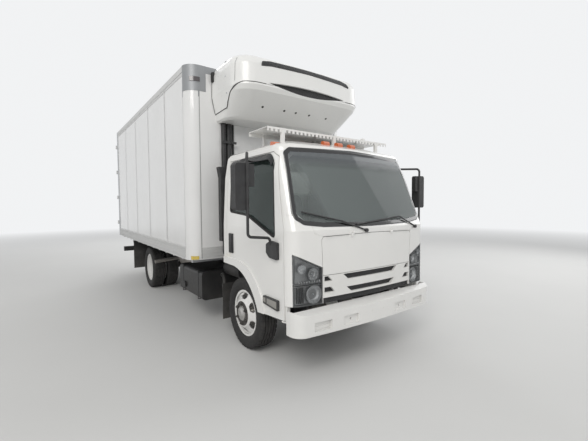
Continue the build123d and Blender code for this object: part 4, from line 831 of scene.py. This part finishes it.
def front_wheel(maker):
    """Drop-centre rim, disc with hand holes, hub with brake disc and cap, six nuts, a dark ring of painted
    shade round the hub, and valve.
    """
    place = Vector((FRONT_WHEEL_X, FRONT_AXLE, AXLE_Z))
    outside = [(-0.086, RIM), (-0.080, RIM), (-0.076, BEAD), (-0.040, BEAD - 0.002), (-0.028, BEAD - 0.023),
               (0.028, BEAD - 0.023), (0.040, BEAD - 0.002), (0.076, BEAD), (0.080, RIM), (0.086, RIM)]
    inside = [(0.086, BEAD - 0.009), (0.046, BEAD - 0.011), (0.034, BEAD - 0.032), (-0.034, BEAD - 0.032),
              (-0.046, BEAD - 0.011), (-0.086, BEAD - 0.009)]
    maker.lathe(outside + inside, place, OUTWARDS, 72, closed=True)
    hand_holes(maker, place)
    maker.tint = 1
    hub = [(0.072, 0.0), (0.072, 0.031), (-0.046, 0.031), (-0.046, 0.062), (-0.028, 0.062), (-0.028, 0.165),
           (-0.004, 0.165), (-0.004, 0.062), (FLANGE - 0.034, 0.070), (FLANGE - 0.030, 0.138),
           (FLANGE - 0.012, 0.138), (FLANGE - 0.012, 0.078), (FLANGE + 0.010, 0.078), (FLANGE + 0.014, 0.074),
           (FLANGE + 0.014, 0.052), (FLANGE + 0.022, 0.041), (FLANGE + 0.026, 0.036), (FLANGE + 0.026, 0.0)]
    maker.lathe(hub, place, OUTWARDS, 48)
    maker.tint = 2
    for i in range(NUTS):
        turn = math.tau * i / NUTS
        around = Vector((0.0, math.sin(turn), math.cos(turn)))
        foot = place + OUTWARDS * (FLANGE - SUNK) + around * NUT_CIRCLE
        maker.rod(foot, foot + OUTWARDS * 0.022, 0.0185, 6, 0.002)
        maker.rod(foot + OUTWARDS * 0.021, foot + OUTWARDS * 0.033, 0.009, 12, 0.0015)
    middle = place + OUTWARDS * FLANGE
    # A dark ring on the flange round the hub: painted shade where the hub's recess lies in shadow.
    ring = [(-0.002, 0.084), (0.0025, 0.086), (0.0025, 0.137), (-0.002, 0.139)]
    maker.lathe(ring, middle, OUTWARDS, 48, closed=True)
    maker.tint = 3
    valve = middle + Vector((0.0, 0.035, 0.196))
    bend = valve - OUTWARDS * 0.012 - Vector((0.0, 0.0, 0.008))
    maker.tube([valve - OUTWARDS * 0.060, valve - OUTWARDS * 0.03, bend], 0.0045, 8)


both_sides("front_wheel", front_wheel, [white_wheel, hub_steel, dark_iron, flap_rubber], "front_wheel_{}",
           "wheel_white", ["wheel_front_{}"])

# Headlamps

HEADLAMP_UPPER = [(-0.962, 1.186), (-0.664, 1.050), (-0.664, 0.911), (-0.962, 0.911)]
HEADLAMP_LOWER = [(-0.962, 0.899), (-0.664, 0.899), (-0.664, 0.716), (-0.962, 0.716)]
FACE_BACK, FACE_BOW, FACE_HALF = 0.075, 0.060, 0.995  # the cab's face bows back over its half width
CORNER_FROM = 0.8786  # and turns its corner on an arc from here
CORNER_X, CORNER_BACK, CORNER_RADIUS, CORNER_REACH = 0.865, 0.2511, 0.130, 0.128


def behind_lens(x, z, depth):
    """A point at a depth behind the headlamp's face, which bows and then turns the cab's corner."""
    side = abs(x)
    if side <= CORNER_FROM:
        y, slope = FACE_BACK + FACE_BOW * (side / FACE_HALF) ** 2, 2 * FACE_BOW * side / FACE_HALF ** 2
    else:
        fall = math.sqrt(CORNER_RADIUS ** 2 - min(CORNER_REACH, side - CORNER_X) ** 2)
        y, slope = CORNER_BACK - fall, (side - CORNER_X) / fall
    length = math.hypot(slope, 1.0)
    return Vector((math.copysign(side - depth * slope / length, x), back(y + depth / length), z))


def lamp_bar(maker, x, half, low, high, bevel):
    """A bar in a chamber between two places of (height, depth); half is half its width."""
    aside = Vector((half, 0.0, 0.0))
    maker.bar(behind_lens(x, *low) - aside, behind_lens(x, *high) + aside, bevel)


def headlamp(maker):
    """Two chambers behind the lens: the main lamps above, the bright dipped lamp and grey ribs below."""
    for outline in (HEADLAMP_UPPER, HEADLAMP_LOWER):
        edge = spread(rounded(outline, 0.018), 0.025)
        rings = [(edge, 0.004), (shrunk(edge, 0.005), 0.004), (shrunk(edge, 0.010), 0.037)]
        maker.band(*[[behind_lens(x, z, depth) for x, z in ring] for ring, depth in rings],
                   closed_at_last=True, thickness=0.0012)
    bulb = [(-0.012, 0.0), (-0.006, 0.010), (0.010, 0.009), (0.015, 0.005), (0.016, 0.0)]
    for x, z, radius in ((-0.762, 0.996, 0.054), (-0.884, 1.052, 0.040), (-0.752, 0.806, 0.080)):
        centre = behind_lens(x, z, 0.036)
        ahead = (behind_lens(x, z, 0.0) - centre).normalized()
        bowl = [(-0.010, 0.0), (-0.008, radius * 0.3), (-0.001, radius * 0.6), (0.010, radius * 0.85),
                (0.024, radius), (0.028, radius * 1.04), (0.026, radius * 1.08), (-0.004, radius * 0.7),
                (-0.014, radius * 0.3), (-0.014, 0.0)]
        maker.tint = 1
        maker.lathe(bowl, centre, ahead, 36)
        maker.tint = 2
        maker.lathe(bulb, centre, ahead, 20)
    maker.tint = 1
    for i in range(9):
        lamp_bar(maker, -0.688 - i * 0.028, 0.009, (0.918, 0.030), (0.938, 0.010), 0.002)
    maker.tint = 3
    for i in range(4):
        lamp_bar(maker, -0.862 - i * 0.024, 0.008, (0.735, 0.034), (0.880, 0.024), 0.003)


both_sides("headlamp_inside", headlamp, [grey_housing, chrome, bulb_glass, dark_housing], "cab", "lamp_clear")

# Windscreen border, door windows and rain visors

SCREEN_EDGE = [(-0.640, 1.426), (0.0, 1.414), (0.640, 1.426), (0.850, 1.450), (0.925, 1.500),
               (0.940, 1.560), (0.878, 2.150), (0.820, 2.198), (0.0, 2.224), (-0.820, 2.198),
               (-0.878, 2.150), (-0.940, 1.560), (-0.925, 1.500), (-0.850, 1.450)]
glass_face = faces_of("cab_glass")


def screen_ring(corners, gap):
    """An outline laid a gap off the windscreen, as deep as its neighbour where it misses the glass."""
    ring = []
    for x, z in corners:
        spot, normal = from_front(glass_face, x, z)
        if spot is None:
            ring.append(Vector((x, ring[-1].y, z)))
        else:
            ring.append(spot + normal * (gap if normal.y < 0.0 else -gap))
    return ring


border = Maker()
screen_edge = spread(rounded(SCREEN_EDGE, 0.060), 0.04)
border_steps = [(0.004, 0.0004)] + [(0.008 + 0.004 * i, 0.0020) for i in range(9)] + [(0.044, 0.0004)]
border.band(*[screen_ring(shrunk(screen_edge, amount), gap) for amount, gap in border_steps], closed=True)
border.done("windscreen_border", [black_border], "cab", "black_plastic")

WINDOW = [(0.405, 1.326), (0.960, 1.532), (1.372, 1.566), (1.372, 2.104), (0.560, 2.104), (0.474, 2.036)]
DOOR_SKIN = -0.85  # what lies further in than this is not the door's outer skin
door_face = faces_of("cab_door_right")


def window_seal(maker):
    """Black rubber round the door window, from its lip on the door's skin in to the glass."""
    edge = spread(rounded(WINDOW, 0.034), 0.05)
    rings = [[], [], [], []]
    for (y, z), (y_out, z_out) in zip(edge, shrunk(edge, -0.013)):
        spot = from_right(door_face, y_out, z_out)
        x = spot.x if spot and spot.x <= DOOR_SKIN else rings[0][-1].x
        rings[0].append(Vector((x - 0.0004, back(y_out), z_out)))
        rings[1].append(Vector((x - 0.0035, back(y * 0.4 + y_out * 0.6), z * 0.4 + z_out * 0.6)))
    for (y, z), lip in zip(shrunk(edge, 0.004), rings[1]):
        rings[2].append(Vector((lip.x + 0.001, back(y), z)))
        rings[3].append(Vector((lip.x + 0.027, back(y), z)))
    maker.band(*rings, closed=True)


def rain_visor(maker):
    """Smoked visor over the door window that drops at its front end."""
    def spot(u, v):
        y = 0.468 + 0.915 * u
        top = 2.146 - 0.08 * max(0.0, 1.0 - u / 0.12) ** 2
        low = 2.082 - 0.075 * max(0.0, 1.0 - u / 0.10) ** 2
        z = top + (low - top) * v
        skin_x = -0.966 + 0.034 * max(0.0, (z - 1.960) / 0.205)
        return Vector((skin_x - 0.004 - 0.026 * math.sin(v * math.pi / 2), back(y), z))
    maker.skin(spot, 36, 6, 0.003)


both_sides("door_window_seal", window_seal, [flap_rubber], "cab_door_{}", "black_plastic")
both_sides("rain_visor", rain_visor, [smoked], "cab_door_{}", "black_plastic")


def door_trim(maker):
    """Handle paddle in its frame, the turn lamp's two lenses, and the mirrors' glasses."""
    maker.bar((-1.0115, back(1.290), 1.090), (-1.0065, back(1.380), 1.306), 0.002)
    maker.bar((-1.0160, back(1.298), 1.120), (-1.0105, back(1.372), 1.296), 0.0025)
    maker.tint = 1
    for front, rear, low_front, low_rear in ((0.352, 0.522, 0.660, 0.676), (0.546, 0.594, 0.680, 0.685)):
        corners = [(front, low_front), (rear, low_rear), (rear, 0.728), (front, 0.728)]
        maker.plate([(back(y), z) for y, z in corners], "x", (-1.0205, -1.0160), 0.002)
    maker.tint = 2
    for outer, inner, low, radius, y in ((-1.381, -1.276, 1.604, 0.02, 0.4995),
                                         (-1.268, -1.213, 1.814, 0.012, 0.4515)):
        corners = [(outer, low), (inner, low), (inner, 1.996), (outer, 1.996)]
        maker.plate(rounded(corners, radius), "y", (back(y), back(y + 0.0035)), 0.001, 1)


both_sides("door_trim", door_trim, [black_plastic, turn_lens, mirror_glass], "cab_door_{}", "black_plastic")

# Painted shade in the gap round the front lid: dark strips between its hinges and down its sides

# The radius of the dark tubes laid in the lid's gap as painted shade.
LID_GAP_SHADE = 0.0017
nose_face = faces_of("cab_front")


def lid_gap_shade(maker):
    """Dark strips deep in the gap as painted shade, clear of the lid's top edge as it turns about its hinges.
    """
    for start, end in ((-0.640, -0.338), (-0.262, -0.004)):
        across = [start + (end - start) * i / 12 for i in range(13)]
        maker.tube([(x, back(0.0775), 1.3505 - 0.012 * abs(x) / 0.646) for x in across], LID_GAP_SHADE, 6)
    down = []
    for i in range(24):
        z = 1.302 - i * 0.0140
        x = 0.6545 + (z - 0.975) * 0.016 / 0.333
        down.append(Vector((-x, from_front(nose_face, -x - 0.007, z)[0].y + 0.005, z)))
    maker.tube(down, LID_GAP_SHADE, 6)


# Dark strips in the lid's gap, painted shade of the gap.
both_sides("lid_gap_painted_shade", lid_gap_shade, [flap_rubber], "cab", "black_plastic")

# Seats

CHANNEL_DEPTH = 0.014
CHANNEL_WIDTH = 0.035
SQUARENESS = 7  # the power that draws the subdivided box between a ball and a block


def cushion(maker, low, high, crown, channels, up="z"):
    """A stuffed pad: a subdivided box drawn to round corners, crowned, with sewn channels pressed in."""
    bmesh.ops.create_cube(maker.mesh, size=2.0)
    bmesh.ops.subdivide_edges(maker.mesh, edges=maker.mesh.edges[:], cuts=23, use_grid_fill=True)
    low, high = Vector(low), Vector(high)
    middle, half = (low + high) / 2, (high - low) / 2
    for vert in maker.mesh.verts:
        p = vert.co
        most = max(abs(p.x), abs(p.y), abs(p.z))
        p *= most / sum(abs(part) ** SQUARENESS for part in p) ** (1 / SQUARENESS)
        a, b, c = (p.x, p.y, p.z) if up == "z" else (p.x, p.z, -p.y)
        lift = crown * (1 - a * a) * (1 - b * b)
        for at in channels:
            lift -= CHANNEL_DEPTH * math.exp(-((a - at) / CHANNEL_WIDTH) ** 2) * (1 - b ** 8)
        lift = lift if c > 0.3 else 0.0  # only the side that is sat on
        waist = 1.0 - 0.03 * (1 - abs(c)) * (abs(a) > 0.9 or abs(b) > 0.9)
        vert.co = Vector((p.x * half.x * waist, p.y * half.y * waist, p.z * half.z)) + middle
        if up == "z":
            vert.co.z += lift
        else:
            vert.co.y -= lift
    maker.keep()


def seat(name, right, left, channels):
    """Seat pad and leaning back pad of one seat, both stuffed."""
    pad = Maker()
    cushion(pad, (right, back(0.800), 1.044), (left, back(1.285), 1.172), 0.016, channels)
    rest = Maker()
    cushion(rest, (right, -0.045, 0.0), (left, 0.045, 0.690), 0.018, channels, "y")
    lean = Matrix.Translation((0, back(1.344), 1.098)) @ Matrix.Rotation(math.radians(-7.0), 4, "X")
    bmesh.ops.transform(rest.whole, matrix=lean, verts=rest.whole.verts)
    for maker, part in ((pad, "pad"), (rest, "back")):
        obj = maker.done(f"{name}_{part}", [seat_cloth], "cab", "seat_cloth", ["seats"], angle=180.0)


seat("passenger_seat", -0.828, 0.088, (-0.55, -0.04, 0.04, 0.55))
seat("driver_seat", 0.192, 0.688, (-0.55, 0.55))

# Body: panel joints, rivets, corner posts, gaskets and plates

PANEL_JOINTS = (2.90, 3.90, 4.90, 5.90)
RIVETS = 48
RIVET_STEP = 0.099
WALL_RIDGES = (0.985, 1.030, 1.066)
SHEET_FOOT = 1.112
POST_TOP = 3.080
WALL_FOOT = 0.955


def body_side(maker):
    """Joint strips, rail ridges, three rivet rows, and strips with dark lines at the corner post."""
    for y in PANEL_JOINTS:
        maker.bar((-1.2958, back(y - 0.012), SHEET_FOOT), (-1.2945, back(y + 0.012), 3.325), 0.0004, 1)
    maker.tint = 1
    for z in (0.950, *WALL_RIDGES, 1.103):
        maker.bar((-1.3005, back(2.055), z - 0.004), (-1.2940, back(6.810), z + 0.004), 0.0015, 1)
    for x, z, radius, height in ((-1.2990, 1.084, 0.0065, 0.004), (-1.2990, 0.968, 0.0065, 0.004),
                                 (-1.2950, 3.338, 0.0055, 0.003)):
        for i in range(RIVETS):
            maker.dome((x, back(2.10 + i * RIVET_STEP), z), OUTWARDS, radius, height, 8)
    maker.bar((-1.1500, back(1.9000), WALL_FOOT), (-1.1380, back(1.9035), POST_TOP), 0.0008, 1)
    maker.bar((-1.1330, back(1.8995), WALL_FOOT), (-0.5000, back(1.9035), 1.100), 0.0012, 1)
    for z in WALL_RIDGES:
        maker.bar((-1.1310, back(1.8970), z - 0.004), (-0.5000, back(1.9000), z + 0.004), 0.0012, 1)
    maker.bar((-1.2970, back(2.0500), SHEET_FOOT), (-1.2935, back(2.0620), POST_TOP), 0.0008, 1)
    maker.tint = 2
    maker.bar((-1.1375, back(1.9010), WALL_FOOT), (-1.1335, back(1.9030), POST_TOP), 0.0004, 1)
    maker.bar((-1.2960, back(2.0625), SHEET_FOOT), (-1.2940, back(2.0650), POST_TOP), 0.0004, 1)


both_sides("body_side_trim", body_side, [white_sheet, rail_metal, flap_rubber], "chassis_and_body",
           "body_sheet")

DOOR_OUTLINE = [(-1.268, 1.104), (-0.012, 1.104), (-0.012, 3.219), (-1.268, 3.219)]


def door_gasket(maker):
    """Black rubber round a rear door, and on its lock rod two bolted end plates and three guides."""
    rings = ((0.0, 6.9165), (0.005, 6.9215), (0.017, 6.9215), (0.022, 6.9165))
    maker.band(*[[Vector((x, back(y), z)) for x, z in shrunk(DOOR_OUTLINE, amount)] for amount, y in rings],
               closed=True)
    maker.tint = 1
    for z in (1.150, 3.170):
        maker.bar((-0.232, back(6.916), z - 0.035), (-0.148, back(6.924), z + 0.035), 0.003)
        for x in (-0.222, -0.158):
            maker.dome((x, back(6.924), z), (0, 1, 0), 0.008, 0.005, 8)
    for z in (1.600, 2.150, 2.700):
        maker.bar((-0.216, back(6.916), z - 0.018), (-0.164, back(6.922), z + 0.018), 0.002)


both_sides("rear_door_gasket", door_gasket, [flap_rubber, galvanised], "box_door_{}", "black_plastic")

rear_bar = Maker()
rear_bar.bar((-0.1525, back(7.0405), 0.509), (0.1525, back(7.0455), 0.661), 0.0015)
rear_bar.tint = 1
for x in (-0.90, 0.90):
    rear_bar.bar((x - 0.045, back(7.0400), 0.560), (x + 0.045, back(7.0470), 0.610), 0.002)
rear_bar.done("blank_plate_and_reflectors", [white_unit, red_lens], "chassis_and_body", "galvanised")

# Cooling unit

COVER_SEAM = ((1.107, 3.035), (1.197, 3.035), (1.397, 2.950), (1.547, 2.815), (1.902, 2.802))
SEAM_RUBBER = 0.0052
cover_face = faces_of("unit_cover")
belly_face = faces_of("unit_belly")


def washer(radius):
    """A thin washer's section, for lathe."""
    return [(-SUNK, 0.0), (-SUNK, radius), (0.0015, radius - 0.001), (0.0020, 0.0)]


def unit_side(maker):
    """The cover's side seam laid on its skin, the dark latch and roof cap, and its two screws."""
    def seam(u, v):
        z = 3.052 + 0.285 * u
        return Vector((from_right(cover_face, 1.280, z).x - 0.0008, back(1.2765 + 0.007 * v), z))
    maker.skin(seam, 14, 2, 0.0012)
    maker.bar((-0.990, back(1.829), 3.196), (-0.955, back(1.880), 3.314), 0.004)
    maker.bar((-0.996, back(1.842), 3.225), (-0.989, back(1.866), 3.285), 0.003)
    cap = [(0.0, 0.0), (0.0, 0.0295), (0.020, 0.0285), (0.0265, 0.022), (0.0275, 0.0)]
    maker.lathe(cap, (-0.860, back(1.667), 3.386), (0, 0, 1), 24)
    maker.tint = 1
    for y, z in ((1.496, 3.168), (1.476, 2.967)):
        spot = from_right(cover_face, y, z)
        maker.lathe(washer(0.013), spot, OUTWARDS, 16)
        maker.dome(spot, OUTWARDS, 0.008, 0.006, 12)


both_sides("unit_side_trim", unit_side, [flap_rubber, galvanised], "chassis_and_body", "unit_dark")


def seam_gasket(maker):
    """Black rubber between cover and belly, along the side and round the corner, and up the wall joint."""
    points = []
    for i in range(30):
        y = 1.890 - i * 0.024
        for rise in (0.006, 0.010, 0.016, 0.024, 0.034):
            spot = from_right(cover_face, y, height_on(COVER_SEAM, y) + rise)
            if spot:
                points.append(spot + Vector((0.0012, 0.0, -rise - 0.002)))
                break
    pivot = Vector((-0.620, back(1.330), 3.045))
    for i in range(1, 19):
        turn = math.radians(200 + i * 70 / 18)
        out = Vector((math.cos(turn), math.sin(turn), 0.0))
        spot = cover_face.ray_cast(pivot + out * 2.0, -out)[0]
        if spot and spot.y < points[-1].y - 0.005:
            points.append(spot - out * 0.0012 - Vector((0.0, 0.0, 0.012)))
    maker.tube(points, SEAM_RUBBER, 8)
    wall = [from_right(cover_face, 1.896, 2.812 + i * 0.0235) for i in range(24)]
    maker.tube([spot + Vector((0.001, -0.001, 0.0)) for spot in wall if spot], SEAM_RUBBER, 8)


both_sides("unit_seam_gasket", seam_gasket, [flap_rubber], "chassis_and_body", "black_plastic")

SLOT_LOW = ((-0.690, 3.232), (-0.560, 3.252), (0.0, 3.270), (0.560, 3.252), (0.690, 3.232))
SLOT_HIGH = ((-0.690, 3.250), (-0.672, 3.286), (-0.560, 3.312), (0.0, 3.330), (0.560, 3.312),
             (0.672, 3.286), (0.690, 3.250))
SLOT_MARGIN = 0.004


def slot_cover(u, v):
    """A point of the mesh over the upper slot, between the cover's skin below and above it."""
    x = -0.688 + 1.376 * u
    low = from_front(cover_face, x, height_on(SLOT_LOW, x) - SLOT_MARGIN)[0]
    high = from_front(cover_face, x, height_on(SLOT_HIGH, x) + SLOT_MARGIN)[0]
    return low.lerp(high, v) - Vector((0.0, 0.0035 + 0.005 * math.sin(math.pi * v), 0.0))


upper_mesh = Maker()
upper_mesh.skin(slot_cover, 64, 6, 0.002)
upper_mesh.done("unit_upper_mesh", [dark_mesh], "chassis_and_body", "unit_dark")

bolts = Maker()
for x in (-0.560, -0.245, -0.065, 0.155, 0.455):
    spot, normal = from_front(belly_face, x, 2.830)
    bolts.lathe(washer(0.016), spot, normal, 18)
    bolts.dome(spot, normal, 0.009, 0.008, 6)
bolts.done("belly_bolts", [dark_iron], "chassis_and_body", "unit_dark")

# Tank straps

straps = Maker()
for y in (2.300, 2.930):
    front, rear = back(y - 0.02), back(y + 0.02)
    straps.bar((-1.0555, front, 0.338), (-1.0515, rear, 0.737), 0.001, 1)
    straps.bar((-1.0555, front, 0.7345), (-0.460, rear, 0.7385), 0.001, 1)
    straps.bar((-1.0555, front, 0.3365), (-0.460, rear, 0.3405), 0.001, 1)
straps.done("tank_straps", [chassis_paint], "chassis_and_body", "frame_black")

# Filler pipe between the tank and the frame, behind the front wheel

filler = Maker()
filler.tube([(-0.760, back(2.160), 0.668), (-0.775, back(2.060), 0.672), (-0.800, back(1.985), 0.640),
             (-0.812, back(1.955), 0.580), (-0.800, back(1.950), 0.500), (-0.745, back(1.960), 0.430),
             (-0.660, back(1.975), 0.420), (-0.560, back(1.990), 0.480), (-0.470, back(2.000), 0.600),
             (-0.425, back(2.005), 0.680)], 0.024, 14)
filler.tint = 1
filler.rod((-0.762, back(2.128), 0.669), (-0.764, back(2.112), 0.6695), 0.0265, 20, 0.002)
filler.rod((-0.440, back(2.004), 0.655), (-0.433, back(2.0045), 0.667), 0.0265, 20, 0.002)
filler.done("tank_filler_pipe", [flap_rubber, galvanised], "chassis_and_body", "flap_rubber")

# Bumper pockets: a thin frame with a rib across it in each lamp place

POCKET_FRAME = (((-0.806, 0.497), (-0.618, 0.503)), ((-0.806, 0.559), (-0.618, 0.565)),
                ((-0.806, 0.503), (-0.800, 0.559)), ((-0.624, 0.503), (-0.618, 0.559)),
                ((-0.800, 0.529), (-0.624, 0.533)))
bumper_face = faces_of("front_bumper")


def pockets(maker):
    for low, high in POCKET_FRAME:
        middle = from_front(bumper_face, (low[0] + high[0]) / 2, (low[1] + high[1]) / 2)[0]
        maker.bar((low[0], middle.y - 0.004, low[1]), (high[0], middle.y + 0.003, high[1]), 0.0012, 1)


both_sides("bumper_pocket_frame", pockets, [white_cab], "chassis_and_body", "white_paint")

# Floor, light and camera

BACKDROP = {"Color": (0.93, 0.94, 0.95, 1.0), "Strength": 0.95}
floor_mesh = bmesh.new()
bmesh.ops.create_grid(floor_mesh, x_segments=2, y_segments=2, size=60.0)
floor_data = bpy.data.meshes.new("floor")
floor_mesh.to_mesh(floor_data)
floor_mesh.free()
floor = bpy.data.objects.new("floor", floor_data)
bpy.context.collection.objects.link(floor)
ground = Finish("pale_floor")
tone = ground.blend(ground.noise(0.6, 4.0), (0.62, 0.62, 0.61), (0.66, 0.66, 0.65))
near = ground.principled(tone, Roughness=0.9)
far = ground.add("ShaderNodeEmission", {}, BACKDROP)
distance = (ground.x * ground.x + ground.y * ground.y).ramp(60.0, 500.0)
floor_data.materials.append(ground.end(ground.mix(distance * ground.seen(), near, far)))

world = bpy.data.worlds.new("studio")
bpy.context.scene.world = world
sky = Nodes(world, "ShaderNodeOutputWorld")
light = sky.add("ShaderNodeBackground", {}, {"Color": (0.98, 0.99, 1.0, 1.0), "Strength": 0.56})
sky.end(sky.mix(sky.seen(), light, sky.add("ShaderNodeBackground", {}, BACKDROP)))


def soft_lamp(name, place, target, size, power, colour=(1.0, 1.0, 1.0)):
    """A rectangular area lamp, turned to a target."""
    data = bpy.data.lights.new(name, "AREA")
    data.shape = "RECTANGLE"
    data.size, data.size_y = size
    data.energy = power
    data.color = colour
    lamp = bpy.data.objects.new(name, data)
    lamp.location = place
    lamp.rotation_mode = "QUATERNION"
    lamp.rotation_quaternion = (Vector(target) - Vector(place)).to_track_quat("-Z", "Y")
    bpy.context.collection.objects.link(lamp)


soft_lamp("key_lamp", (-9.0, -10.0, 9.5), (0.0, -1.5, 1.4), (7.0, 7.0), 900.0, (1.0, 0.98, 0.95))
soft_lamp("fill_lamp", (9.5, -4.0, 6.0), (0.0, -1.5, 1.4), (8.0, 6.0), 330.0)
soft_lamp("back_lamp", (3.0, 11.0, 8.0), (0.0, 1.5, 2.0), (8.0, 6.0), 420.0)

camera_data = bpy.data.cameras.new("camera")
camera = bpy.data.objects.new("camera", camera_data)
bpy.context.collection.objects.link(camera)
FOCAL_LENGTH_PIXELS, PHOTO_WIDTH, SENSOR = 342.478, 588.0, 36.0
YAW, PITCH, ROLL = 0.6272, -0.045, -0.0064
camera_data.sensor_width = SENSOR
camera_data.lens = FOCAL_LENGTH_PIXELS / PHOTO_WIDTH * SENSOR
camera_data.clip_end = 300.0
camera.location = (-2.7386, back(-2.314), 1.6349)
looking = Vector((math.sin(YAW) * math.cos(PITCH), math.cos(YAW) * math.cos(PITCH), math.sin(PITCH)))
camera.rotation_mode = "QUATERNION"
camera.rotation_quaternion = looking.to_track_quat("-Z", "Y") @ Matrix.Rotation(ROLL, 3, "Z").to_quaternion()
bpy.context.scene.camera = camera
bpy.context.scene.view_settings.view_transform = "Standard"
